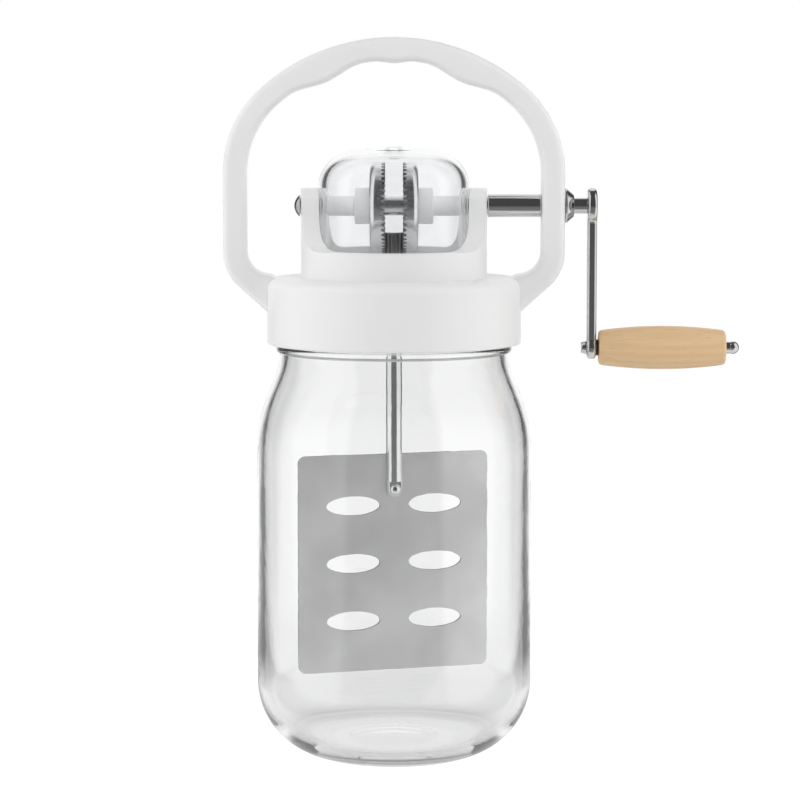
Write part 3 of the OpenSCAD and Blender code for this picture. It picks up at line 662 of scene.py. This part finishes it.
BRIGHT_ROD = metal("bright_drawn_rod", (0.9, 0.9, 0.91), (0.84, 0.84, 0.85),
                   grain_scale=900, smooth=0.03, rough=0.07, stretch=(1, 1, 0.05))
STAINLESS = metal("stainless_sheet", grey(0.93), grey(0.76), grain_scale=1600, smooth=0.46, rough=0.58,
                  stretch=(1, 1, 0.03), depth=0.003 * MM, cloud_scale=26)
# Darker steel on the edge faces of the blade
DARK_EDGE = metal("dark_blade_edge", grey(0.3), grey(0.22), grain_scale=1200, smooth=0.4, rough=0.55,
                depth=0.004 * MM)
GEAR = metal("gear_steel", (0.88, 0.88, 0.89), (0.82, 0.82, 0.83),
             grain_scale=500, smooth=0.16, rough=0.28, cloud_scale=60)
# Darker steel on the gear teeth and the pinion: painted shade in the gaps between teeth
TEETH_SHADE = metal("teeth_painted_shade", grey(0.42), grey(0.32),
              grain_scale=700, smooth=0.3, rough=0.42, cloud_scale=120)
BEECH = beech()


# Glass jar
def jar_angle():
    """Angle of the straight slope of the shoulder."""
    curve = SHOULDER_R + HOLLOW_R
    drop = JAR_R - NECK_R
    return math.degrees(math.acos((curve - drop) / math.hypot(curve, SLOPE_L)) - math.atan(SLOPE_L / curve))


def jar_side(inwards):
    """Shoulder of the jar from the wall up to the neck, moved inwards by a thickness."""
    lean = jar_angle()
    rise = math.radians(lean)
    neck_z = RIM_Z - NECK_H
    wall_z = neck_z - (HOLLOW_R + SHOULDER_R) * math.sin(rise) - SLOPE_L * math.cos(rise)
    return (arc(JAR_R - SHOULDER_R, wall_z, SHOULDER_R - inwards, 0, lean, 16)
            + arc(NECK_R + HOLLOW_R, neck_z, HOLLOW_R + inwards, 180 + lean, 180, 12))


def threaded(bm, radius, outwards, bottom, top):
    """Raises a screw thread on the upright wall at a radius, between two heights."""
    start = bottom + THREAD_W
    for vert in bm.verts:
        if abs(math.hypot(vert.co.x, vert.co.y) - radius) > ON_SURFACE or not bottom < vert.co.z < top:
            continue
        turn = math.atan2(vert.co.y, vert.co.x) / (2 * math.pi) % 1
        for whole in range(math.ceil(THREAD_TURNS)):
            along = turn + whole
            if along > THREAD_TURNS:
                break
            ease = min(1, along / THREAD_RUN_OUT, (THREAD_TURNS - along) / THREAD_RUN_OUT)
            away = abs(vert.co.z - start - THREAD_PITCH * along) / (THREAD_W / 2)
            if away < 1:
                grown = 1 + outwards * ease * (1 - away ** 2) ** THREAD_POWER / radius
                vert.co.x *= grown
                vert.co.y *= grown


def glass_jar():
    """Jar with a hollow foot, a rounded heel, a shoulder, a bead and a threaded neck."""
    foot_out = JAR_R - HEEL_R
    foot_in = foot_out - FOOT_W
    punt_r = (foot_in ** 2 + PUNT_H ** 2) / (2 * PUNT_H)
    punt_turn = math.degrees(math.asin(foot_in / punt_r))
    bead_z = RIM_Z - BEAD_DOWN
    bead_r = (BEAD_H ** 2 / 4 + BEAD_OUT ** 2) / (2 * BEAD_OUT)
    bead_turn = math.degrees(math.asin(BEAD_H / 2 / bead_r))
    rim_r = GLASS_T / 2
    neck_low = bead_z + BEAD_H / 2
    neck_top = RIM_Z - rim_r
    neck_rings = 44
    inner_heel_r = HEEL_R - GLASS_FLOOR
    outline = arc(0, PUNT_H - punt_r, punt_r, 90, 90 - punt_turn, 12)
    outline += arc(foot_out, HEEL_R, HEEL_R, -90, 0, 24)
    outline += [(r, z) for r, z in jar_side(0) if z < bead_z - BEAD_H / 2]
    outline += arc(NECK_R + BEAD_OUT - bead_r, bead_z, bead_r, -bead_turn, bead_turn, 12)
    outline += [(NECK_R, neck_low + (neck_top - neck_low) * i / neck_rings) for i in range(1, neck_rings)]
    outline += arc(NECK_R - rim_r, neck_top, rim_r, 0, 180, 12)
    outline += reversed(jar_side(GLASS_T))
    outline += arc(JAR_R - GLASS_T - inner_heel_r, HEEL_R, inner_heel_r, 0, -90, 20)
    outline.append((0, GLASS_FLOOR))
    bm = turned(outline, closed=False, steps=JAR_STEPS)
    threaded(bm, NECK_R, THREAD_OUT, neck_low + NECK_PLAIN, neck_top)
    piece("jar_body", bm, GLASS, "jar", "glass_jar")


# Lid with its seal
def screw_places():
    """Places of the housing screws on the underside of the lid."""
    turns = [(i + 0.5) * 360 / SCREW_COUNT for i in range(SCREW_COUNT)]
    return [Vector((*on_circle(0, 0, SCREW_CIRCLE_R, turn), LID_UNDER_Z)) for turn in turns]


def screw_lid():
    """Lid with a plain skirt, threaded inside and recessed for the heads of the screws."""
    inner_r = LID_R - LID_WALL
    wall_rings = 48
    wall_step = (SKIRT_Z - LID_UNDER_Z) / wall_rings
    outline = [(BUSH_R, LID_UNDER_Z)] + [(inner_r, LID_UNDER_Z + wall_step * i) for i in range(wall_rings)]
    outline += rounded([(inner_r, SKIRT_Z + LID_WALL, 0), (inner_r, SKIRT_Z, SKIRT_EDGE_R),
                        (LID_R, SKIRT_Z, SKIRT_EDGE_R), (LID_R, LID_Z, LID_EDGE_R), (BUSH_R, LID_Z, 0)],
                       closed=False, steps=8)[1:]
    bm = turned(outline, steps=JAR_STEPS)
    threaded(bm, inner_r, -THREAD_OUT, SKIRT_Z + LID_PLAIN, LID_UNDER_Z - LID_PLAIN)
    for place in screw_places():
        tool = pin_tool(SCREW_HEAD_R + LOOSE_GAP, -OVERCUT, SCREW_HEAD_H)
        bmesh.ops.translate(tool, verts=tool.verts, vec=place)
        bm = carved(bm, tool)
    piece("lid_shell", bm, WHITE, "lid", "screw_lid")


def lid_gasket():
    """Sealing ring between the rim of the jar and the lid."""
    ring = ring_section(NECK_R - GLASS_T, high("lid_gasket").x, RIM_Z, LID_UNDER_Z)
    piece("sealing_ring", turned(ring), SILICONE, "gasket", "lid_gasket")


# Gear housing and clear cover
def housing_side():
    """Side view of the housing in Y and Z: a low wall that sweeps up into an ear."""
    ledge = LID_Z + HOUSE_H
    far = HOUSE_R + OVERCUT
    half = [(far, LID_Z - OVERCUT), (far, ledge)]
    half += arc(EAR_HALF_W + EAR_SWEEP_R, ledge + EAR_SWEEP_R, EAR_SWEEP_R, 270, 180, 20)
    half += arc(EAR_HALF_W - EAR_CORNER_R, HOUSE_TOP_Z - EAR_CORNER_R, EAR_CORNER_R, 0, 90, 10)
    return half + [(-y, z) for y, z in reversed(half)]


def gear_housing():
    """Ring on the lid with two ears that carry the crank shaft."""
    seat_r = COVER_R + COVER_GAP
    outline = rounded([(BUSH_R, LID_Z, 0), (HOUSE_R, LID_Z, 0), (HOUSE_R, HOUSE_TOP_Z, 0),
                       (seat_r, HOUSE_TOP_Z, 0), (seat_r, COVER_FOOT_Z, HOUSE_SEAT_R),
                       (BUSH_R, COVER_FOOT_Z, 0)])
    through = Matrix.Translation((-2 * HOUSE_R, 0, 0)) @ ACROSS_SHAFT
    bm = carved(turned(outline), plate(housing_side(), 4 * HOUSE_R, through), "INTERSECT")
    bm = carved(bm, on_shaft(pin_tool(SHAFT_R + RUN_GAP, -2 * HOUSE_R, 2 * HOUSE_R)))
    bm = eased(flattened(bm), HOUSE_EDGE_R)
    piece("housing_ring", bm, WHITE, "lid", "gear_housing")


def clear_cover():
    """Dome over the gears, with a small moulding boss under its roof."""
    inner_r = COVER_R - COVER_T
    roof = COVER_Z - COVER_T
    bend_z = COVER_Z - COVER_EDGE_R
    bend_r = COVER_R - COVER_EDGE_R
    roof_rings = 24
    flat = [bend_r * i / roof_rings for i in range(roof_rings)]

    def crowned(points):
        """Raises the middle of the roof and lowers its shoulders, over a rise that ends at the side wall."""
        rises = [COVER_CROWN - r ** 2 / (2 * COVER_CROWN_R) for r, _ in points]
        return [(r, z + rise * (z - bend_z) / (roof - bend_z)) for (r, z), rise in zip(points, rises)]

    outline = crowned([(r, COVER_Z) for r in flat] + arc(bend_r, bend_z, COVER_EDGE_R, 90, 0, 20))
    outline += rounded([(COVER_R, bend_z, 0), (COVER_R, COVER_FOOT_Z, COVER_FOOT_R),
                        (inner_r, COVER_FOOT_Z, COVER_FOOT_R), (inner_r, bend_z, 0)], closed=False)[1:-1]
    outline += crowned(arc(bend_r, bend_z, COVER_EDGE_R - COVER_T, 0, 90, 20)
                       + [(r, roof - COVER_BOSS_H * bump(r / COVER_BOSS_R)) for r in reversed(flat)])
    shaft_hole = on_shaft(pin_tool(SHAFT_R + LOOSE_GAP, -2 * COVER_R, 2 * COVER_R))
    bm = carved(turned(outline, closed=False), shaft_hole)
    piece("cover_dome", bm, CLEAR, "lid", "clear_cover")


# Carrying handle
def grip_wave(turn):
    """How far the grip stands into the hand gap at an angle from the middle."""
    return SWELL_H * bump((turn - SWELL_TURN) / SWELL_SPREAD) + RIDGE_H * bump(turn / RIDGE_SPREAD)


def handle_half():
    """Inner and outer lines of the right half of the handle in X and Z, from the foot to the middle."""
    leg_x = high("carry_handle").x
    handle_h = high("carry_handle").z - LID_Z
    foot = (leg_x - HANDLE_T - FOOT_R, LID_Z + SOLE_T + FOOT_R)
    bend = (leg_x - BEND_R, LID_Z + LEG_H)
    rise = handle_h - LEG_H
    top_r = (bend[0] ** 2 + rise ** 2 - BEND_R ** 2) / (2 * (rise - BEND_R))
    top_z = LID_Z + handle_h - top_r
    lean = math.degrees(math.atan2(bend[1] - top_z, bend[0]))
    turn_r = FOOT_R + HANDLE_T
    heel = Vector(on_circle(*foot, turn_r, -FOOT_TURN))
    slant = math.radians(FOOT_TURN)
    inside_lid = LID_R - LID_WALL
    tip = heel - Vector((math.sin(slant), math.cos(slant))) * (heel.x - inside_lid) / math.sin(slant)
    toe = (LID_R - TOE_L, LID_Z - SOLE_T)
    steps = 40
    inner = [toe] + arc(*foot, FOOT_R, -90, 0, 12) + arc(*bend, BEND_R - HANDLE_T, 0, lean, 16)
    outer = [tuple(tip)] + arc(*foot, turn_r, -FOOT_TURN, 0, 10) + arc(*bend, BEND_R, 0, lean, 16)
    for i in range(1, steps + 1):
        turn = lean + (90 - lean) * i / steps
        inner.append(on_circle(0, top_z, top_r - HANDLE_T - grip_wave(90 - turn), turn))
        outer.append(on_circle(0, top_z, top_r, turn))
    return inner, outer


def lid_tool(grow):
    """Outside form of the lid, grown by a clearance, to seat the feet of the handle."""
    side, top = LID_R + grow, LID_Z + grow
    corners = [(0, SKIRT_Z, 0), (side, SKIRT_Z, 0), (side, top, LID_EDGE_R), (0, top, 0)]
    return turned(rounded(corners, closed=False, steps=8), closed=False, steps=JAR_STEPS)


def carry_handle():
    """Arch with finger swells, its feet on the edge of the lid and its right leg bored for the shaft."""
    inner, outer = handle_half()
    left_outer = [(-x, z) for x, z in reversed(outer[:-1])]
    left_inner = [(-x, z) for x, z in inner[:-1]]
    outline = outer + left_outer + left_inner + list(reversed(inner))
    depth = high("carry_handle").y - low("carry_handle").y
    upright = Matrix.Translation((0, depth / 2, 0)) @ Matrix.Rotation(math.pi / 2, 4, "X")
    bm = eased(plate(outline, depth, upright), HANDLE_EDGE_R, segments=5, sharper_than=60)
    bm = carved(bm, lid_tool(SEAT_GAP))
    leg_x = high("carry_handle").x
    bm = carved(bm, on_shaft(pin_tool(SHAFT_R + RUN_GAP, leg_x - 2 * HANDLE_T, leg_x + HANDLE_T)))
    piece("handle_arch", bm, WHITE, "lid", "carry_handle")


# Turned pieces on the crank shaft and the grip pin
def shaft_rings():
    """Plain rings along the crank shaft."""
    for node, finish, body, slot in (
            ("drive_hub", WHITE, "crank", "white_plastic"),
            ("idler_hub", WHITE, "idler", "white_plastic"),
            ("left_sleeve", PALE, "crank", "pale_plastic"),
            ("right_sleeve", PALE, "crank", "pale_plastic"),
            ("gear_spacer", GEAR, "crank", "gear_steel"),
            ("spacer_tube", POLISHED, "crank", "polished_steel")):
        ring = ring_section(SHAFT_R + RING_GAP, high(node).y, low(node).x, high(node).x)
        piece(node + "_turned", on_shaft(turned(ring)), finish, body, node)


def cone_washer():
    """Washer between the handle and the crank arm, narrower towards the arm."""
    start, end = low("cone_washer").x, high("cone_washer").x
    wide = high("cone_washer").y
    bore = SHAFT_R + RING_GAP
    cone = rounded([(bore, start, THIN_EDGE_R), (wide, start, THIN_EDGE_R),
                    (wide, start + WASHER_RIM_T, THIN_EDGE_R), (WASHER_TIP_R, end, RING_EDGE_R),
                    (bore, end, THIN_EDGE_R)])
    piece("cone_washer_turned", on_shaft(turned(cone)), POLISHED, "crank", "cone_washer")


def shaft_cap():
    """Domed cap on the left end of the shaft."""
    tip, base = low("shaft_cap").x, high("shaft_cap").x
    cap_r = high("shaft_cap").y
    cap_h = base - tip
    round_r = (cap_r ** 2 + cap_h ** 2) / (2 * cap_h)
    turn = math.degrees(math.asin(cap_r / round_r))
    dome = [(0, 0), (cap_r - THIN_EDGE_R, 0)]
    dome += arc(0, cap_h - round_r, round_r, 90 - turn + CAP_BEVEL_TURN, 90, 16)
    bm = turned(dome, closed=False)
    bmesh.ops.scale(bm, verts=bm.verts, vec=(1, 1, -1))
    bmesh.ops.recalc_face_normals(bm, faces=bm.faces)
    piece("shaft_cap_turned", on_shaft(bm, base), POLISHED, "crank", "shaft_cap")


def wooden_grip():
    """Barrel-shaped grip, bored for its pin."""
    start, end = low("wooden_grip").x, high("wooden_grip").x
    middle_r = high("wooden_grip").y
    swell = middle_r - GRIP_END_R
    half = (end - start) / 2
    barrel_r = (half ** 2 + swell ** 2) / (2 * swell)
    turn = math.degrees(math.asin((half - GRIP_EDGE_R) / barrel_r))
    shoulder = GRIP_END_R - GRIP_EDGE_R
    outline = [(GRIP_BORE_R, 0)] + arc(shoulder, GRIP_EDGE_R, GRIP_EDGE_R, -90, -10, 6)
    outline += arc(middle_r - barrel_r, half, barrel_r, -turn, turn, 28)
    outline += arc(shoulder, 2 * half - GRIP_EDGE_R, GRIP_EDGE_R, 10, 90, 6)
    outline.append((GRIP_BORE_R, 2 * half))
    piece("turned_grip", on_shaft(turned(outline), start, GRIP_Z), BEECH, "grip", "wooden_grip")


def crank_arm():
    """Flat bar that flows into a round eye at each end, its long edges well rounded."""
    big_r = high("crank_arm").y
    length = SHAFT_Z - GRIP_Z
    side = ARM_W / 2 + ARM_HOLLOW_R
    big_a = math.degrees(math.acos(side / (big_r + ARM_HOLLOW_R)))
    small_a = math.degrees(math.acos(side / (ARM_END_R + ARM_HOLLOW_R)))
    big_z = -(big_r + ARM_HOLLOW_R) * math.sin(math.radians(big_a))
    small_z = (ARM_END_R + ARM_HOLLOW_R) * math.sin(math.radians(small_a)) - length
    outline = arc(0, 0, big_r, -big_a, 180 + big_a, 40)[1:-1]
    outline += arc(-side, big_z, ARM_HOLLOW_R, big_a, 0, 6)
    outline += arc(-side, small_z, ARM_HOLLOW_R, 0, -small_a, 6)
    outline += arc(0, -length, ARM_END_R, 180 - small_a, 360 + small_a, 28)[1:-1]
    outline += arc(side, small_z, ARM_HOLLOW_R, 180 + small_a, 180, 6)
    outline += arc(side, big_z, ARM_HOLLOW_R, 180, 180 - big_a, 6)
    start, end = low("crank_arm").x, high("crank_arm").x
    upright = Matrix.Translation((start, 0, SHAFT_Z)) @ ACROSS_SHAFT
    bm = eased(plate(outline, end - start, upright), ARM_EDGE_R, segments=5, sharper_than=60)
    half = ARM_SQUARE / 2 + SEAT_GAP
    square = Matrix.Translation((-end / 2, 0, 0)) @ upright
    bm = carved(bm, plate([(-half, -half), (half, -half), (half, half), (-half, half)], end, square))
    bm = carved(bm, on_shaft(pin_tool(ARM_PIN_R + SEAT_GAP, start / 2, 2 * end), 0, GRIP_Z))
    piece("crank_arm_bar", bm, POLISHED, "crank", "crank_arm")


# Pieces that keep the construction's form, with eased edges
def crown_gears():
    """Crown gears with a rounded back edge, and teeth in a darker steel that paints the shade in their gaps.
    """
    for node, body in (("drive_crown", "crank"), ("idler_crown", "idler")):
        side = 1 if low(node).x > 0 else -1
        front, back = sorted((abs(low(node).x), abs(high(node).x)))
        rim = high(node).y
        bm = copy_of(node)
        back_rim = {v for v in bm.verts if abs(side * v.co.x - back) < ON_SURFACE
                    and math.hypot(v.co.y, v.co.z - SHAFT_Z) > rim - ON_SURFACE}
        bevelled(bm, [e for e in bm.edges if back_rim.issuperset(e.verts)], CROWN_EDGE_R, segments=4)
        eased(bm, TOOTH_EDGE_R)
        for face in bm.faces:
            # Faces of the teeth take the darker steel: painted shade
            face.material_index = int(side * face.calc_center_median().x < front + TOOTH_H)
        made = piece(node + "_eased", bm, GEAR, body, node)
        made.data.materials.append(TEETH_SHADE)


def paddle_blade():
    """Sheet blade whose edge faces are a darker steel."""
    bm = eased(copy_of("paddle_blade"), BLADE_EDGE_R)
    across = max(bm.faces, key=lambda face: face.calc_area()).normal.copy()
    for face in bm.faces:
        face.material_index = int(abs(face.normal.dot(across)) < SHEARED_COSINE)
    made = piece("paddle_blade_eased", bm, STAINLESS, "paddle", "paddle_blade")
    made.data.materials.append(DARK_EDGE)


def eased_pieces():
    """Small pieces, each with the radius of its edges."""
    for node, finish, body, slot, radius in (
            # The pinion is all in the darker steel of painted shade among teeth
            ("pinion", TEETH_SHADE, "paddle", "gear_steel", 0.08 * MM),
            ("crank_shaft", POLISHED, "crank", "polished_steel", 0.25 * MM),
            ("grip_pin", POLISHED, "crank", "polished_steel", 0.35 * MM),
            ("paddle_rod", BRIGHT_ROD, "paddle", "polished_steel", 0.1 * MM),
            ("blade_rivet", BRIGHT_ROD, "paddle", "polished_steel", 0.1 * MM),
            ("rod_bush", PALE, "lid", "pale_plastic", 0.3 * MM),
            ("rod_clip", STAINLESS, "paddle", "stainless_steel", 0.1 * MM),
            ("thrust_washer", STAINLESS, "paddle", "stainless_steel", 0.1 * MM)):
        piece(node + "_eased", eased(copy_of(node), radius), finish, body, node)


def plain_nodes():
    """Construction nodes that stay as they are, in their finish."""
    for node, finish in (("housing_screws", STAINLESS), ("rod_seal", RUBBER), ("grip_washer", RUBBER),
                         ("grip_ball_nut", POLISHED)):
        NODES[node].data.materials.clear()
        NODES[node].data.materials.append(finish)


# Studio
def panels_group():
    """Brightness of the studio by compass: backdrop, dark gaps beside it, side panels and a dim front."""
    tree, given, out = new_group("studio_panels", [("Place", "NodeSocketVector", (0, 1, 0))],
                                 [("Panels", "NodeSocketFloat"), ("Matt", "NodeSocketFloat")])
    flat = add_node(tree, "ShaderNodeVectorMath", {1: (1, 1, 0)}, operation="MULTIPLY")
    compass = add_node(tree, "ShaderNodeVectorMath", operation="NORMALIZE")
    split = add_node(tree, "ShaderNodeSeparateXYZ")
    tree.links.new(given.outputs["Place"], flat.inputs[0])
    tree.links.new(flat.outputs[0], compass.inputs[0])
    tree.links.new(compass.outputs[0], split.inputs[0])
    behind = split.outputs["Y"]
    front = ramp(tree, behind, *FRONT_EDGE)
    gap = combine(tree, "MULTIPLY", ramp(tree, behind, *GAP_SIDE_EDGE), ramp(tree, behind, *GAP_BACK_EDGE))
    matt = choose(tree, ramp(tree, behind, *MATT_EDGE), MATT_FRONT, MATT_BACK)
    tree.links.new(combine(tree, "SUBTRACT", front, gap), out.inputs["Panels"])
    tree.links.new(matt, out.inputs["Matt"])
    return tree


PANELS = panels_group()


def studio_world():
    """White backdrop and side panels in a dim room for glass and metal; even light for matt surfaces."""
    world = bpy.data.worlds.new("studio")
    bpy.context.scene.world = world
    world.use_nodes = True
    world.cycles.sampling_method = "NONE"
    tree = world.node_tree
    tree.nodes.clear()
    path = add_node(tree, "ShaderNodeLightPath").outputs
    place = add_node(tree, "ShaderNodeTexCoord")
    panels = add_node(tree, "ShaderNodeGroup", node_tree=PANELS)
    tree.links.new(place.outputs["Generated"], panels.inputs["Place"])
    rise = add_node(tree, "ShaderNodeSeparateXYZ")
    tree.links.new(place.outputs["Generated"], rise.inputs[0])
    solid = inverse(tree, path["Is Transmission Ray"])
    mirrored = combine(tree, "MULTIPLY", path["Is Glossy Ray"], solid)
    ceiling = combine(tree, "MULTIPLY", ramp(tree, rise.outputs["Z"], *CEILING_EDGE), mirrored)
    through = combine(tree, "MULTIPLY", path["Is Transmission Ray"], OVERHEAD_LEVEL)
    overhead = combine(tree, "MULTIPLY", ramp(tree, rise.outputs["Z"], *OVERHEAD_EDGE), through)
    walls = combine(tree, "MAXIMUM", panels.outputs["Panels"], overhead)
    lit = combine(tree, "MULTIPLY", walls, inverse(tree, ceiling))
    room = choose(tree, lit, ROOM_DIM, 1.0)
    seen = combine(tree, "MAXIMUM", path["Is Glossy Ray"], path["Is Transmission Ray"])
    matt = combine(tree, "MAXIMUM", inverse(tree, seen), path["Diffuse Depth"])
    level = choose(tree, path["Is Camera Ray"], choose(tree, matt, room, panels.outputs["Matt"]), 1.0)
    background = add_node(tree, "ShaderNodeBackground", {"Color": (1, 1, 1, 1)})
    tree.links.new(level, background.inputs["Strength"])
    out = add_node(tree, "ShaderNodeOutputWorld")
    tree.links.new(background.outputs[0], out.inputs["Surface"])


def pale_floor():
    """Wide pale floor: almost white to the camera, with a trace of shadow, and like the room in glass."""
    bm = bmesh.new()
    bmesh.ops.create_grid(bm, x_segments=1, y_segments=1, size=FLOOR_HALF)
    floor = as_object("floor", bm)
    made, tree, shader = new_material("floor_white")
    set_shader(shader, Base_Color=(*grey(0.9), 1), Roughness=0.9)
    path = add_node(tree, "ShaderNodeLightPath").outputs
    place = add_node(tree, "ShaderNodeTexCoord")
    panels = add_node(tree, "ShaderNodeGroup", node_tree=PANELS)
    tree.links.new(place.outputs["Object"], panels.inputs["Place"])
    length = add_node(tree, "ShaderNodeVectorMath", operation="LENGTH")
    tree.links.new(place.outputs["Object"], length.inputs[0])
    reach = length.outputs["Value"]
    under_fade = ramp(tree, reach, *(JAR_R * radii for radii in UNDER_FADE))
    beside_fade = ramp(tree, reach, *(JAR_R * radii for radii in BESIDE_FADE))
    shade = choose(tree, beside_fade, choose(tree, under_fade, UNDER_JAR, BESIDE_JAR), FLOOR_MIRRORED)
    near = inverse(tree, ramp(tree, reach, *NEAR_FLOOR))
    mirrored = choose(tree, combine(tree, "MAXIMUM", near, panels.outputs["Panels"]), ROOM_DIM, shade)
    level = choose(tree, path["Is Camera Ray"], mirrored, FLOOR_GLOW)
    glow = add_node(tree, "ShaderNodeEmission", {"Color": (1, 1, 1, 1)})
    tree.links.new(level, glow.inputs["Strength"])
    clear = combine(tree, "MAXIMUM", path["Is Glossy Ray"], path["Is Transmission Ray"])
    seen = combine(tree, "MAXIMUM", path["Is Camera Ray"], clear)
    mix = add_node(tree, "ShaderNodeMixShader")
    tree.links.new(combine(tree, "MULTIPLY", seen, FLOOR_GLOW_SHARE), mix.inputs[0])
    tree.links.new(shader.outputs[0], mix.inputs[1])
    tree.links.new(glow.outputs[0], mix.inputs[2])
    tree.links.new(mix.outputs[0], tree.nodes["Material Output"].inputs["Surface"])
    floor.data.materials.append(made)


def softbox(name, place, size, power):
    """Square area lamp that faces the middle of the object."""
    lamp = bpy.data.lights.new(name, "AREA")
    lamp.size = size
    lamp.energy = power
    lamp.cycles.use_multiple_importance_sampling = False
    made = bpy.data.objects.new(name, lamp)
    made.location = place
    made.rotation_euler = (LAMP_AIM - Vector(place)).to_track_quat("-Z", "Y").to_euler()
    made.visible_camera = False
    made.visible_glossy = False
    made.visible_transmission = False
    bpy.context.scene.collection.objects.link(made)


def studio_lamps():
    """Three soft lamps from the sides and above, and three weaker ones from behind."""
    softbox("left_softbox", (-1.2, -0.35, 0.45), size=0.9, power=7.2)
    softbox("right_softbox", (1.2, -0.35, 0.45), size=0.9, power=6.6)
    softbox("top_softbox", (0, -0.7, 1.1), size=0.9, power=5)
    softbox("back_softbox", (0, 1.1, 0.75), size=1.1, power=3.2)
    softbox("left_rim_softbox", (-1.0, 0.8, 0.35), size=0.8, power=2.6)
    softbox("right_rim_softbox", (1.0, 0.8, 0.35), size=0.8, power=2.6)


def camera():
    """Camera of the photograph, which looks a little down."""
    made = bpy.data.cameras.new("camera")
    made.lens = CAMERA_LENS
    made.sensor_width = CAMERA_SENSOR
    holder = bpy.data.objects.new("camera", made)
    holder.location = CAMERA_AT
    holder.rotation_euler = (math.radians(90 - CAMERA_DIP), 0, 0)
    bpy.context.scene.collection.objects.link(holder)
    bpy.context.scene.camera = holder


bpy.context.scene.view_settings.view_transform = "Standard"
# Soft light passes through the clear walls as it is, and light caught inside them finds its way out
bpy.context.scene.cycles.blur_glossy = 0
bpy.context.scene.cycles.max_bounces = 40
bpy.context.scene.cycles.glossy_bounces = 24
bpy.context.scene.cycles.transmission_bounces = 32
bpy.context.scene.cycles.transparent_max_bounces = 16
glass_jar()
screw_lid()
lid_gasket()
gear_housing()
clear_cover()
carry_handle()
shaft_rings()
cone_washer()
shaft_cap()
wooden_grip()
crank_arm()
crown_gears()
paddle_blade()
eased_pieces()
plain_nodes()
studio_world()
pale_floor()
studio_lamps()
camera()
